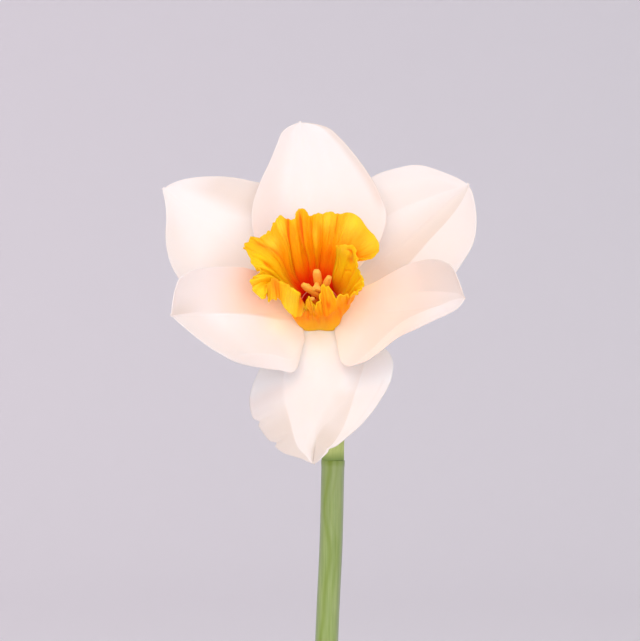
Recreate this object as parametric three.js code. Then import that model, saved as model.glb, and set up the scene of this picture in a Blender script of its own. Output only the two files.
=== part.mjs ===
// Potted daffodil: one bloom on a tall stem, five strap leaves, the bulb, soil and a plain clay pot.
// Millimetres, +Z up. The origin is the middle of the pot's foot, and the bloom faces -Y.
import * as THREE from 'three';

// Driving dimensions of the pot and what fills it.
const POT_HEIGHT = 115;
const POT_TOP_RADIUS = 70;
const POT_FOOT_RADIUS = 46;
const POT_WALL = 5;
const POT_FLOOR = 7;
const RIM_BAND_HEIGHT = 26;
const RIM_BAND_PROUD = 4;
const DRAIN_RADIUS = 7;
const SOIL_BELOW_RIM = 12;
const SOIL_RELIEF = 1.6;
const BULB_RADIUS = 25;
const BULB_HEIGHT = 62;
const NECK_RADIUS = 13.5;
const NECK_ABOVE_SOIL = 8;
const NECK_POCKET_RADIUS = 11.4;
const NECK_POCKET_DEPTH = 12;
const BULB_PLATE = 2;
const BULB_PLATE_RADIUS = 7;
const POT_CORNER = 6;

// Driving dimensions of the plant. The bloom's middle is where its axis crosses the tepals.
const BLOOM_MIDDLE = new THREE.Vector3(3.2, -39.5, 405);
const BLOOM_TILT = 27;
const BLOOM_YAW = 5;
const STEM_WIDTH = 7.6;
const STEM_DEPTH = 6.6;
const STEM_TOP = BLOOM_MIDDLE.clone().add(new THREE.Vector3(3.8, 40, -47.2));
const STALK_RADIUS = 2.3;
const OVARY_RADIUS = 4.1;
const OVARY_LENGTH = 13;
const TUBE_RADIUS = 6.5;
const TUBE_BORE = 5.4;
const TUBE_LENGTH = 21;
const TUBE_FRONT = 1.8;
const TUBE_POCKET = 11;
const TEPAL_THICKNESS = 0.8;
const CORONA_HEIGHT = 19.9;
const CORONA_THICKNESS = 0.7;
// Touching pieces keep this gap, and SMALL is the step used to measure a surface's slope.
const GAP = 0.3;
const SMALL = 1e-3;

// How finely the round pieces are cut.
const POT_SIDES = 48;
const SOIL_SIDES = 36;
const BULB_SIDES = 24;
const TUBE_SIDES = 24;
const STEM_SIDES = 14;
const STALK_SIDES = 12;
const STYLE_SIDES = 12;
const STAMEN_SIDES = 8;
const CORONA_SIDES = 108;

// Finishes, as seen on the plant.
const finish = (color, roughness) => new THREE.MeshStandardMaterial({ color, roughness, metalness: 0 });
const CLAY = finish(0xb8673f, 0.85);
const SOIL = finish(0x3b2a20, 0.98);
const BULB_SKIN = finish(0xa9794c, 0.75);
const STEM_GREEN = finish(0x86993f, 0.5);
const LEAF_GREEN = finish(0x5d8455, 0.55);
const PALE_GREEN = finish(0xb9c074, 0.5);
const PAPERY = finish(0xc2a877, 0.8);
const TEPAL_WHITE = finish(0xfdf0e8, 0.6);
const CORONA_ORANGE = finish(0xfd9f0c, 0.5);
const ANTHER_ORANGE = finish(0xff9a40, 0.7);

const radians = THREE.MathUtils.degToRad;
const clamp = THREE.MathUtils.clamp;
const lerp = THREE.MathUtils.lerp;
const smooth = (x, from, to) => THREE.MathUtils.smoothstep(x, from, to);
const bell = (x, middle, spread) => Math.exp(-(((x - middle) / spread) ** 2));

// The bloom's own directions: out of its face, across it to the right, and up over its face.
const OUT = new THREE.Vector3(
  -Math.sin(radians(BLOOM_YAW)) * Math.cos(radians(BLOOM_TILT)),
  -Math.cos(radians(BLOOM_YAW)) * Math.cos(radians(BLOOM_TILT)),
  Math.sin(radians(BLOOM_TILT)),
);
const ACROSS = new THREE.Vector3(Math.cos(radians(BLOOM_YAW)), -Math.sin(radians(BLOOM_YAW)), 0);
const UP = new THREE.Vector3().crossVectors(OUT, ACROSS);

// A point given by its distances along three directions from a starting point.
function point(start, ...steps) {
  const result = start.clone();
  steps.forEach(([direction, distance]) => result.addScaledVector(direction, distance));
  return result;
}

// The direction away from the bloom's axis at an angle clockwise from the top, in degrees.
const bloomDirection = (degrees) => point(
  new THREE.Vector3(),
  [ACROSS, Math.sin(radians(degrees))],
  [UP, Math.cos(radians(degrees))],
);

// A closed solid through a row of closed sections with equal numbers of points. The second half of
// each section is the back face, split into triangles like the front. A ring of sections has no caps.
function loft(sections, ring = false) {
  const count = sections[0].length;
  const half = count / 2;
  const positions = sections.flat().flatMap((p) => [p.x, p.y, p.z]);
  const index = [];
  const bands = ring ? sections.length : sections.length - 1;
  for (let band = 0; band < bands; band += 1) {
    const here = band * count;
    const next = ((band + 1) % sections.length) * count;
    for (let i = 0; i < count; i += 1) {
      const j = (i + 1) % count;
      if (i < half) index.push(here + i, here + j, next + j, here + i, next + j, next + i);
      else index.push(here + i, here + j, next + i, here + j, next + j, next + i);
    }
  }
  if (!ring) {
    const last = (sections.length - 1) * count;
    for (let i = 0; i < half - 1; i += 1) {
      const across = count - 1 - i;
      index.push(across, i + 1, i, across, across - 1, i + 1);
      index.push(last + i, last + i + 1, last + across, last + i + 1, last + across - 1, last + across);
    }
  }
  const geometry = new THREE.BufferGeometry();
  geometry.setAttribute('position', new THREE.Float32BufferAttribute(positions, 3));
  geometry.setIndex(index);
  return facingOut(geometry);
}

// The signed volume tells whether the faces point out, and they are turned round where they don't.
function facingOut(geometry) {
  const position = geometry.getAttribute('position');
  const index = geometry.getIndex();
  const corner = (k) => new THREE.Vector3().fromBufferAttribute(position, index.getX(k));
  let volume = 0;
  for (let k = 0; k < index.count; k += 3) {
    volume += corner(k).dot(corner(k + 1).cross(corner(k + 2)));
  }
  if (volume < 0) {
    for (let k = 0; k < index.count; k += 3) {
      const first = index.getX(k);
      index.setX(k, index.getX(k + 1));
      index.setX(k + 1, first);
    }
  }
  geometry.computeVertexNormals();
  return geometry;
}

// A round or oval rod along a path, with a section at each fraction in rows. radius(s) gives its two
// half widths there, the first one sideways.
function rod(path, rows, sides, radius, sideways = new THREE.Vector3(1, 0, 0)) {
  return loft(rows.map((s) => {
    const middle = path.getPoint(s);
    const along = path.getTangent(s);
    const front = new THREE.Vector3().crossVectors(along, sideways).normalize();
    const side = new THREE.Vector3().crossVectors(front, along).normalize();
    const [wide, deep] = radius(s);
    return Array.from({ length: sides }, (_, k) => {
      const turn = (2 * Math.PI * k) / sides;
      return point(middle, [side, wide * Math.cos(turn)], [front, deep * Math.sin(turn)]);
    });
  }));
}

// A thin blade: surface(s, t) is its middle, s along it and t from -1 to 1 across, given thickness.
function blade(surface, alongRows, acrossRows, thickness) {
  const normalAt = (s, t) => {
    const along = surface(Math.min(s + SMALL, 1), t).sub(surface(Math.max(s - SMALL, 0), t));
    const over = surface(s, Math.min(t + SMALL, 1)).sub(surface(s, Math.max(t - SMALL, -1)));
    return over.cross(along).normalize();
  };
  const sections = alongRows.map((s) => {
    const face = (side) => acrossRows.map((t) => (
      point(surface(s, t), [normalAt(s, t), (side * thickness(s, t)) / 2])));
    return [...face(1), ...face(-1).reverse()];
  });
  return loft(sections);
}

const evenly = (count, from, to) => Array.from({ length: count + 1 }, (_, i) => lerp(from, to, i / count));

// Pot: one turned piece, its outside with a rim band, a tapered inside and a drain hole in its floor.
const SOIL_LEVEL = POT_HEIGHT - SOIL_BELOW_RIM;
const bodyRadius = (z) => lerp(POT_FOOT_RADIUS, POT_TOP_RADIUS - RIM_BAND_PROUD, z / POT_HEIGHT);
const insideRadius = (z) => bodyRadius(z) - POT_WALL;

function makePot() {
  const bandFoot = POT_HEIGHT - RIM_BAND_HEIGHT;
  const outline = [
    [DRAIN_RADIUS + 1, 0],
    [POT_FOOT_RADIUS - 1.5, 0],
    [POT_FOOT_RADIUS - 0.4, 0.5],
    [bodyRadius(2), 2],
    [bodyRadius(bandFoot - 2), bandFoot - 2],
    [bodyRadius(bandFoot) + 1.2, bandFoot],
    [POT_TOP_RADIUS - 2.2, bandFoot + 0.6],
    [POT_TOP_RADIUS - 1.2, bandFoot + 2.4],
    [POT_TOP_RADIUS, POT_HEIGHT - 3],
    [POT_TOP_RADIUS - 1, POT_HEIGHT - 0.8],
    [POT_TOP_RADIUS - 3, POT_HEIGHT],
    [insideRadius(POT_HEIGHT) + 2, POT_HEIGHT],
    [insideRadius(POT_HEIGHT) + 0.4, POT_HEIGHT - 1.2],
    [insideRadius(POT_HEIGHT - 5), POT_HEIGHT - 5],
    [insideRadius(POT_FLOOR + POT_CORNER), POT_FLOOR + POT_CORNER],
    [insideRadius(POT_FLOOR) - POT_CORNER + 1, POT_FLOOR],
    [DRAIN_RADIUS + 1, POT_FLOOR],
    [DRAIN_RADIUS, POT_FLOOR - 1],
    [DRAIN_RADIUS, 1],
    [DRAIN_RADIUS + 1, 0],
  ];
  return turned(outline, POT_SIDES);
}

// A turned solid about +Z from an outline of [radius, height] points.
function turned(outline, sides) {
  const geometry = new THREE.LatheGeometry(outline.map(([r, z]) => new THREE.Vector2(r, z)), sides);
  geometry.rotateX(Math.PI / 2);
  return facingOut(geometry);
}

// Bulb outline from its base plate to the neck's lip, as heights above its own foot.
const BULB_FOOT = SOIL_LEVEL + NECK_ABOVE_SOIL - BULB_HEIGHT;
const bulbRadius = (height) => {
  const belly = Math.sin(Math.PI * clamp(height / (BULB_HEIGHT * 0.86), 0, 1)) ** 0.62;
  const neck = smooth(height, BULB_HEIGHT * 0.42, BULB_HEIGHT * 0.82);
  return lerp(lerp(9, BULB_RADIUS, belly), NECK_RADIUS, neck);
};

function makeBulb() {
  const side = evenly(11, 0, BULB_HEIGHT - 1).map((z) => [bulbRadius(z), BULB_FOOT + z]);
  const lip = BULB_FOOT + BULB_HEIGHT;
  const floor = lip - NECK_POCKET_DEPTH;
  const outline = [[0, BULB_FOOT - BULB_PLATE], [BULB_PLATE_RADIUS, BULB_FOOT - BULB_PLATE + 0.6], ...side,
    [NECK_RADIUS - 0.8, lip], [NECK_POCKET_RADIUS, lip], [NECK_POCKET_RADIUS, floor], [0, floor]];
  return turned(outline, BULB_SIDES);
}

// Soil: fills the pot to a crumbly surface, with a plain hole round the bulb.
function crumbs(x, y) {
  const coarse = Math.sin(0.31 * x + 1.3) * Math.cos(0.27 * y - 0.4);
  const fine = Math.sin(0.83 * x - 0.6 * y) + Math.sin(0.71 * y + 0.5 * x + 2);
  return SOIL_RELIEF * (0.45 * coarse + 0.3 * fine);
}

function makeSoil() {
  const bottom = POT_FLOOR + GAP;
  const roundBulb = 3 * GAP;
  const insidePot = 2 * GAP;
  const underBulb = BULB_FOOT - BULB_PLATE - insidePot;
  const hole = evenly(7, 0, BULB_HEIGHT - NECK_ABOVE_SOIL - 3)
    .map((z) => [bulbRadius(z) + roundBulb, BULB_FOOT + z]);
  const innerEdge = NECK_RADIUS + roundBulb;
  const outerEdge = insideRadius(SOIL_LEVEL) - insidePot;
  const top = evenly(7, innerEdge, outerEdge).map((r) => [r, SOIL_LEVEL]);
  const outline = [[0, underBulb], [BULB_PLATE_RADIUS, underBulb], ...hole, ...top,
    [insideRadius(POT_FLOOR + POT_CORNER) - insidePot, POT_FLOOR + POT_CORNER + GAP],
    [insideRadius(POT_FLOOR) - POT_CORNER, bottom], [0, bottom]];
  const geometry = turned(outline, SOIL_SIDES);
  const position = geometry.getAttribute('position');
  for (let i = 0; i < position.count; i += 1) {
    const x = position.getX(i);
    const y = position.getY(i);
    const r = Math.hypot(x, y);
    const level = smooth(r, innerEdge, innerEdge + 8) * smooth(outerEdge - r, 0, 8);
    if (Math.abs(position.getZ(i) - SOIL_LEVEL) < SMALL) position.setZ(i, SOIL_LEVEL + crumbs(x, y) * level);
  }
  return geometry;
}

// Stem: from the pocket in the bulb's neck to a slightly swollen ring under the bloom.
const POCKET_FLOOR = BULB_FOOT + BULB_HEIGHT - NECK_POCKET_DEPTH + GAP;
const STEM_FOOT = new THREE.Vector3(0, 0, POCKET_FLOOR);

function makeStem() {
  const bow = new THREE.Vector3(-1.2, 0, 0);
  const bend = new THREE.Vector3().lerpVectors(STEM_FOOT, STEM_TOP, 0.5).add(bow);
  const path = new THREE.QuadraticBezierCurve3(STEM_FOOT, bend, STEM_TOP);
  const ring = (s) => 1 + 0.1 * bell(s, 0.988, 0.008);
  const radius = (s) => [(STEM_WIDTH / 2) * ring(s), (STEM_DEPTH / 2) * ring(s)];
  return rod(path, [...evenly(11, 0, 0.97), 0.98, 0.988, 0.994, 1], STEM_SIDES, radius);
}

// Leaves: upright straps that arch outwards, each channelled along its midrib, with a rounded tip.
// Facing is the way a leaf arches, in degrees from the right towards the back.
const LEAVES = [
  { facing: 172, length: 213, lean: [6, 66], width: 16, twist: 38 },
  { facing: 244, length: 216, lean: [6, 74], width: 15, twist: -34 },
  { facing: 312, length: 222, lean: [8, 84], width: 15.5, twist: 30 },
  { facing: 20, length: 215, lean: [5, 72], width: 16, twist: -36 },
  { facing: 95, length: 207, lean: [5, 68], width: 15, twist: 32 },
];
const LEAF_FOOT_RADIUS = 8;

function leafSurface({ facing, length, lean, width, twist }) {
  const outward = new THREE.Vector3(Math.cos(radians(facing)), Math.sin(radians(facing)), 0);
  const sideways = new THREE.Vector3(-outward.y, outward.x, 0);
  const upward = new THREE.Vector3(0, 0, 1);
  const steps = 200;
  const leanAt = (s) => radians(lerp(lean[0], lean[1], s ** 1.7));
  const spine = [point(STEM_FOOT, [outward, LEAF_FOOT_RADIUS])];
  for (let i = 0; i < steps; i += 1) {
    const turn = leanAt((i + 0.5) / steps);
    const step = length / steps;
    spine.push(point(spine[i], [outward, step * Math.sin(turn)], [upward, step * Math.cos(turn)]));
  }
  return (s, t) => {
    const at = clamp(s, 0, 1) * steps;
    const middle = spine[Math.floor(at)].clone().lerp(spine[Math.min(Math.floor(at) + 1, steps)], at % 1);
    const turn = leanAt(s);
    const face = point(new THREE.Vector3(), [outward, -Math.cos(turn)], [upward, Math.sin(turn)]);
    const rolled = radians(twist) * s;
    const side = point(new THREE.Vector3(), [sideways, Math.cos(rolled)], [face, Math.sin(rolled)]);
    const up = point(new THREE.Vector3(), [face, Math.cos(rolled)], [sideways, -Math.sin(rolled)]);
    const tip = Math.sqrt(Math.max(1 - clamp((s - 0.86) / 0.145, 0, 1) ** 2, 0.0));
    const half = (width / 2) * lerp(0.5, 1, smooth(s, 0.02, 0.36)) * Math.max(tip, 0.12);
    const channel = lerp(0.34, 0.12, s) * half * t * t;
    return point(middle, [side, half * t], [up, channel]);
  };
}

function makeLeaf(leaf) {
  const rows = [...evenly(11, 0, 0.86), 0.9, 0.94, 0.97, 0.99, 1];
  const thickness = (s, t) => lerp(1.9, 1.1, s) * (1 - 0.45 * t * t);
  return blade(leafSurface(leaf), rows, [-1, -0.5, 0, 0.5, 1], thickness);
}

// Flower stalk: a green stalk that bends from the stem's top to the ovary behind the bloom.
const OVARY_FRONT = TUBE_FRONT - TUBE_LENGTH - GAP;

function makeFlowerStalk() {
  const foot = STEM_TOP.clone().add(new THREE.Vector3(0, 0, GAP));
  const front = point(BLOOM_MIDDLE, [OUT, OVARY_FRONT]);
  const ovaryBack = point(front, [OUT, -OVARY_LENGTH]);
  const path = new THREE.CurvePath();
  path.add(new THREE.CubicBezierCurve3(
    foot,
    point(foot, [new THREE.Vector3(0.03, 0.04, 1), 17]),
    point(ovaryBack, [OUT, -13]),
    ovaryBack,
  ));
  path.add(new THREE.LineCurve3(ovaryBack, front));
  const total = path.getLength();
  const ovaryFrom = 1 - OVARY_LENGTH / total;
  const radius = (s) => {
    const x = clamp((s - ovaryFrom) / (1 - ovaryFrom), 0, 1);
    const swell = Math.sin(Math.PI * x ** 0.85) ** 0.8;
    const r = lerp(STALK_RADIUS, OVARY_RADIUS, x > 0 ? swell : 0) + 0.9 * x;
    return [r, r];
  };
  return rod(path, evenly(20, 0, 1), STALK_SIDES, radius);
}

// Spathe: the papery sheath at the stem's top, wrapped round the stalk and open towards the bloom.
const SPATHE_LENGTH = 44;

function spatheSurface(s, t) {
  const start = STEM_TOP.clone().add(new THREE.Vector3(0, 0, GAP));
  const backward = new THREE.Vector3(0.1, 1, 0).normalize();
  const right = new THREE.Vector3(1, -0.1, 0).normalize();
  const up = new THREE.Vector3(0, 0, 1);
  const wrap = radians(lerp(158, 42, smooth(s, 0, 0.55)) * (1 - 0.35 * smooth(s, 0.6, 1)));
  const r = lerp(3.25, 7.2, smooth(s, 0, 0.5)) - 2.4 * smooth(s, 0.6, 1);
  const drift = 7 * s * s;
  const back = drift + r * Math.cos(wrap * t);
  return point(start, [backward, back], [right, r * Math.sin(wrap * t)], [up, SPATHE_LENGTH * s]);
}

function makeSpathe() {
  return blade(spatheSurface, evenly(9, 0, 1), evenly(8, -1, 1), () => 0.6);
}

// Perianth tube: the pale funnel that carries the tepals and the corona, hollow towards the face.
function makePerianthTube() {
  const back = TUBE_FRONT - TUBE_LENGTH;
  const outline = [
    [0, back], [3.8, back], [4.1, back + 4], [4.9, back + 9],
    [5.9, TUBE_FRONT - 7], [TUBE_RADIUS, TUBE_FRONT - 4], [TUBE_RADIUS, TUBE_FRONT],
    [TUBE_BORE, TUBE_FRONT], [TUBE_BORE - 0.5, TUBE_FRONT - 6], [TUBE_BORE - 1.2, TUBE_FRONT - TUBE_POCKET],
    [0, TUBE_FRONT - TUBE_POCKET],
  ];
  return onBloomAxis(turned(outline, TUBE_SIDES));
}

// Turns a solid made about +Z so that +Z lies along the bloom's axis.
function onBloomAxis(geometry) {
  geometry.applyMatrix4(new THREE.Matrix4().makeBasis(ACROSS, UP, OUT).setPosition(BLOOM_MIDDLE));
  return geometry;
}

// Tepals: around is clockwise from the top as seen from the front, in degrees. Lean is how far the
// blade rises out of the bloom's plane at its foot and its tip. Each half has its own outline:
// width, where along it is widest, how full and how blunt it ends, then how it folds and curls.
// A ridge is [place across, spread, height]. Level is the whorl's height on the tube.
const INNER_WHORL = 0.9;
const OUTER_WHORL = -1.0;
const half = (width, widest, full, blunt, fold, curl, foot = 0.38) => (
  { width, widest, full, blunt, fold, curl, foot });
const TEPALS = {
  tepal_top: {
    around: -9, length: 51.5, lean: [10, 24], sweep: 4, level: INNER_WHORL,
    ridges: [[-0.3, 0.16, 0.5], [0.32, 0.16, 0.6]],
    left: half(17.8, 0.38, 2.1, 0.74, 4, 12), right: half(23, 0.38, 2.3, 0.78, 4, 14),
  },
  tepal_low_right: {
    around: 105, length: 47.6, lean: [18, 50], sweep: -2, level: INNER_WHORL,
    ridges: [[0.45, 0.14, 0.8]],
    left: half(16.5, 0.62, 3.2, 0.62, 14, 16), right: half(21, 0.3, 1.5, 0.74, 10, 14),
  },
  tepal_low_left: {
    around: -117, length: 47.5, lean: [20, 52], sweep: 6, level: INNER_WHORL,
    ridges: [],
    left: half(20, 0.36, 2.0, 0.7, 4, 4), right: half(17.5, 0.66, 3.2, 0.58, 24, 16),
  },
  tepal_up_right: {
    around: 49, length: 52, lean: [4, 8], sweep: 0, level: OUTER_WHORL,
    ridges: [[-0.45, 0.14, 1.0]],
    left: half(20.5, 0.52, 2.8, 0.75, 4, 8), right: half(18, 0.46, 3.8, 0.6, 4, 8),
  },
  tepal_bottom: {
    around: 177, length: 51, lean: [6, 22], sweep: 3, level: OUTER_WHORL,
    ridges: [[-0.34, 0.14, 1.8], [0.36, 0.14, 1.6], [0, 0.12, -1.0]],
    left: half(22, 0.28, 1.5, 0.95, 0, -12, 0.5), right: half(22, 0.42, 1.9, 0.8, 0, -14),
  },
  tepal_up_left: {
    around: -52, length: 55, lean: [4, 10], sweep: -1, level: OUTER_WHORL,
    ridges: [[0.35, 0.16, 0.5]],
    left: half(16.6, 0.4, 4.2, 0.6, 6, 12), right: half(20, 0.58, 2.5, 0.7, 4, 8),
  },
};
const TEPAL_FOOT = TUBE_RADIUS + GAP;

// Half width of a tepal at s, as a share of its widest: swells from the foot, then rounds to a point.
function tepalOutline(s, { widest, full, blunt, foot }) {
  const x = clamp(s / 0.98, 0, 1);
  const swell = foot + (1 - foot) * Math.sin((Math.PI / 2) * clamp(x / widest, 0, 1));
  const close = Math.max(1 - clamp((x - widest) / (1 - widest), 0, 1) ** full, 0) ** blunt;
  const beak = 0.05 * clamp((1 - s) / 0.05, 0.4, 1);
  return Math.max(x < widest ? swell : close, beak);
}

function tepalSurface({ around, length, lean, sweep, level, ridges, left, right }) {
  const away = bloomDirection(around);
  const aside = bloomDirection(around + 90);
  const zero = new THREE.Vector3();
  const frameAt = (s) => {
    const turn = radians(lerp(lean[0], lean[1], s));
    const swing = radians(sweep) * s;
    const outward = point(zero, [away, Math.cos(swing)], [aside, Math.sin(swing)]);
    return {
      along: point(zero, [outward, Math.cos(turn)], [OUT, Math.sin(turn)]),
      over: point(zero, [aside, Math.cos(swing)], [away, -Math.sin(swing)]),
      up: point(zero, [outward, -Math.sin(turn)], [OUT, Math.cos(turn)]),
    };
  };
  const steps = 100;
  const spine = [point(BLOOM_MIDDLE, [away, TEPAL_FOOT], [OUT, level])];
  for (let i = 0; i < steps; i += 1) {
    spine.push(point(spine[i], [frameAt((i + 0.5) / steps).along, length / steps]));
  }
  return (s, t) => {
    const at = clamp(s, 0, 1) * steps;
    const middle = spine[Math.floor(at)].clone().lerp(spine[Math.min(Math.floor(at) + 1, steps)], at % 1);
    const { over, up } = frameAt(s);
    const part = t < 0 ? left : right;
    const share = tepalOutline(s, part);
    const grown = clamp(2.5 * s, 0, 1);
    const fold = radians(part.fold) * grown;
    const curl = radians(2 * part.curl) * grown + 1e-4;
    const out = Math.abs(t);
    const sideways = (Math.sin(fold + curl * out) - Math.sin(fold)) / curl;
    const rise = (Math.cos(fold) - Math.cos(fold + curl * out)) / curl;
    const relief = ridges.reduce((sum, [place, spread, height]) => sum + height * bell(t, place, spread), 0);
    const width = part.width * share;
    return point(
      middle,
      [over, Math.sign(t) * sideways * width],
      [up, rise * width + relief * clamp(1.6 * s, 0, 1) * share],
    );
  };
}

function makeTepal(tepal) {
  const rows = [0, 0.07, 0.16, 0.26, 0.37, 0.48, 0.59, 0.69, 0.78, 0.86, 0.92, 0.96, 1];
  const across = evenly(10, -1, 1);
  return blade(tepalSurface(tepal), rows, across, () => TEPAL_THICKNESS);
}

// Corona: a deep cup with a frilled, rolled mouth, wide at the top and steep at the bottom. Angles are
// clockwise from the top, in degrees. A lobe of the mouth is [place, spread, reach outwards, rise], and
// a pleat of the wall is [place, spread, bulge outwards].
const CORONA_FOOT_RADIUS = 5.95;
const CORONA_MOUTH = 15.5;
const CORONA_MOUTH_SWAY = 5.5;
const LOBES = [
  [-12, 6, 1.6, 0.6], [-29, 7, 2.0, 0.4], [-54, 9, 3.2, 0], [-68, 5, 3.2, 0.6], [-83, 5, 1.8, -0.8],
  [-99, 9, 4.2, 0], [-120, 8, 4.6, -0.8], [-146, 9, 1.6, 1.2], [-171, 7, -0.6, -4.2], [10, 8, 1.2, 0],
  [28, 12, 2.8, 0.5], [57, 13, 4.4, 0], [88, 7, 0.8, 0.8], [112, 9, 1.6, 0.4], [138, 9, -1.6, 1.2],
  [160, 7, 0.8, -1.0],
];
const PLEATS = [
  [-120, 6, 0.8], [-108, 5, -1.1], [-88, 5, -1.1], [-66, 6, 1.3], [-42, 11, 0.7], [-24, 4, -1.2], [-11, 4, -1.2],
  [3, 4.5, -1.3], [24, 11, 0.9], [46, 8, -2.3], [64, 7, 0.9], [78, 5, -1.0], [93, 5, 0.8], [106, 5, -0.9],
  [124, 5, 0.8], [142, 6, -0.6], [-150, 6, -0.7], [-170, 6, 0.6], [168, 6, -0.6],
];
const ROLLED_LOBE = 42;

// The turn from b to a, between -180 and 180 degrees.
const turnBetween = (a, b) => ((((a - b) % 360) + 540) % 360) - 180;

// Adds up one column of a table of bumps round the cup.
const bumps = (table, degrees, column) => table.reduce(
  (sum, row) => sum + row[column] * bell(turnBetween(degrees, row[0]), 0, row[1]),
  0,
);

function coronaPoint(degrees, s) {
  const rolled = bell(turnBetween(degrees, ROLLED_LOBE), 0, 30);
  const mouth = CORONA_MOUTH + CORONA_MOUTH_SWAY * Math.cos(radians(degrees + 8)) + bumps(LOBES, degrees, 2);
  const spreading = 0.42 * s + 0.58 * s ** 4;
  const rise = Math.sin((Math.PI / 2) * (1.16 + 0.2 * rolled) * s);
  const pleat = bumps(PLEATS, degrees, 2) * s * (1.5 - 0.9 * s);
  const r = CORONA_FOOT_RADIUS + (mouth - CORONA_FOOT_RADIUS) * spreading + pleat;
  const height = CORONA_HEIGHT * rise + bumps(LOBES, degrees, 3) * s ** 3;
  return point(BLOOM_MIDDLE, [bloomDirection(degrees), r], [OUT, TUBE_FRONT + GAP + height]);
}

// The direction into the cup, square to its wall. At the foot it points straight at the axis, so that
// the foot is a flat ring.
function coronaInward(degrees, s) {
  if (s === 0) return bloomDirection(degrees).negate();
  const over = coronaPoint(degrees + 0.2, s).sub(coronaPoint(degrees - 0.2, s));
  const along = coronaPoint(degrees, Math.min(s + SMALL, 1)).sub(coronaPoint(degrees, s - SMALL));
  return over.cross(along).normalize();
}

function makeCorona() {
  const rows = [0, 0.2, 0.4, 0.58, 0.76, 0.9, 1];
  const sections = evenly(CORONA_SIDES, 0, 360).slice(1).map((degrees) => {
    const wall = (side) => rows.map((s) => (
      point(coronaPoint(degrees, s), [coronaInward(degrees, s), (side * CORONA_THICKNESS) / 2])));
    return [...wall(1), ...wall(-1).reverse()];
  });
  return loft(sections, true);
}

// Stamens: six slim filaments round the style, each with a long anther that leans outwards.
const STAMEN_COUNT = 6;
const STAMEN_FIRST = -5;
const STAMEN_FOOT = TUBE_FRONT - TUBE_POCKET + GAP;
const LONG_STAMEN = 16.4;
const SHORT_STAMEN = 14.4;
const ANTHER_LENGTH = 6;

function makeStamen(number) {
  const away = bloomDirection(STAMEN_FIRST + (360 / STAMEN_COUNT) * number);
  const radial = (r, out) => point(BLOOM_MIDDLE, [away, r], [OUT, out]);
  const top = number % 2 === 0 ? LONG_STAMEN : SHORT_STAMEN;
  const path = new THREE.CatmullRomCurve3([
    radial(2.7, STAMEN_FOOT), radial(2.2, 2), radial(2.3, top - 6.2), radial(3.2, top - 3), radial(4.6, top),
  ]);
  const anther = ANTHER_LENGTH / path.getLength();
  const radius = (s) => {
    const x = clamp((s - 1 + anther) / anther, 0, 1);
    const swell = x > 0 ? Math.sin(Math.PI * clamp(0.06 + 0.86 * x, 0, 1)) ** 0.45 : 0;
    return [lerp(0.5, 1.15, swell), lerp(0.5, 0.85, swell)];
  };
  return rod(path, [0, 0.25, 0.5, ...evenly(8, 0.68, 1)], STAMEN_SIDES, radius, ACROSS);
}

// Style: the slender column in the middle, with a small three-lobed stigma.
function makeStyle() {
  const steps = [
    [STAMEN_FOOT, 0.8], [0, 0.7], [8, 0.7], [13, 0.75], [14.4, 1.1], [15.4, 1.5], [16.1, 1.25], [16.4, 0.5],
  ];
  const sections = steps.map(([out, r]) => Array.from({ length: STYLE_SIDES }, (_, k) => {
    const degrees = (360 * k) / STYLE_SIDES;
    const lobed = r * (1 + 0.28 * smooth(r, 0.8, 1.3) * Math.cos(radians(3 * degrees)));
    return point(BLOOM_MIDDLE, [bloomDirection(degrees), lobed], [OUT, out]);
  }));
  return loft(sections);
}

const flower = new THREE.Group();
const addPiece = (name, geometry, material) => {
  const mesh = new THREE.Mesh(geometry, material);
  mesh.name = name;
  flower.add(mesh);
};

addPiece('pot', makePot(), CLAY);
addPiece('soil', makeSoil(), SOIL);
addPiece('bulb', makeBulb(), BULB_SKIN);
addPiece('stem', makeStem(), STEM_GREEN);
LEAVES.forEach((leaf, i) => addPiece(`leaf_${i + 1}`, makeLeaf(leaf), LEAF_GREEN));
addPiece('spathe', makeSpathe(), PAPERY);
addPiece('flower_stalk', makeFlowerStalk(), STEM_GREEN);
addPiece('perianth_tube', makePerianthTube(), PALE_GREEN);
Object.entries(TEPALS).forEach(([name, tepal]) => addPiece(name, makeTepal(tepal), TEPAL_WHITE));
addPiece('corona', makeCorona(), CORONA_ORANGE);
for (let i = 0; i < STAMEN_COUNT; i += 1) addPiece(`stamen_${i + 1}`, makeStamen(i), ANTHER_ORANGE);
addPiece('style', makeStyle(), ANTHER_ORANGE);

export default flower;
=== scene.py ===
# %% [markdown]
# # Dressing a potted daffodil
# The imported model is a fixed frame: plain solids at their real size and place. This script grows the
# looks round it: six petals, a frilled cup, stamens, a stem, leaves, a bulb, soil and a clay pot, each
# a fine mesh worked out with numpy, and each with its own finish. Lengths are in metres.

import math

import bmesh
import bpy
import numpy as np
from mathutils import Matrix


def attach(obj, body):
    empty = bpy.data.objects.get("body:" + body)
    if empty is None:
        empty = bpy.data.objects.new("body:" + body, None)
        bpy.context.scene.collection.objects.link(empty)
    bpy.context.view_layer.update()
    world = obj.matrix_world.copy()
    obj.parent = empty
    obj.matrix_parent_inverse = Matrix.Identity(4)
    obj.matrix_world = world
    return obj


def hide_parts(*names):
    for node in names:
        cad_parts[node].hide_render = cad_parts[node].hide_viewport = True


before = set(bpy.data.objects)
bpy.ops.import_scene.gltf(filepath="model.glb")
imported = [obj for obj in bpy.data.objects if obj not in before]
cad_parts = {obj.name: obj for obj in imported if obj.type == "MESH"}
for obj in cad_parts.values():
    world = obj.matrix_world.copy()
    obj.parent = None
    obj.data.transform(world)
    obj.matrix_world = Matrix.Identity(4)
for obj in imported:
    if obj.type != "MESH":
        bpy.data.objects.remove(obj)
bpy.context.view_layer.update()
MM = 0.001
print("nodes in the frame:", len(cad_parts))

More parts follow.
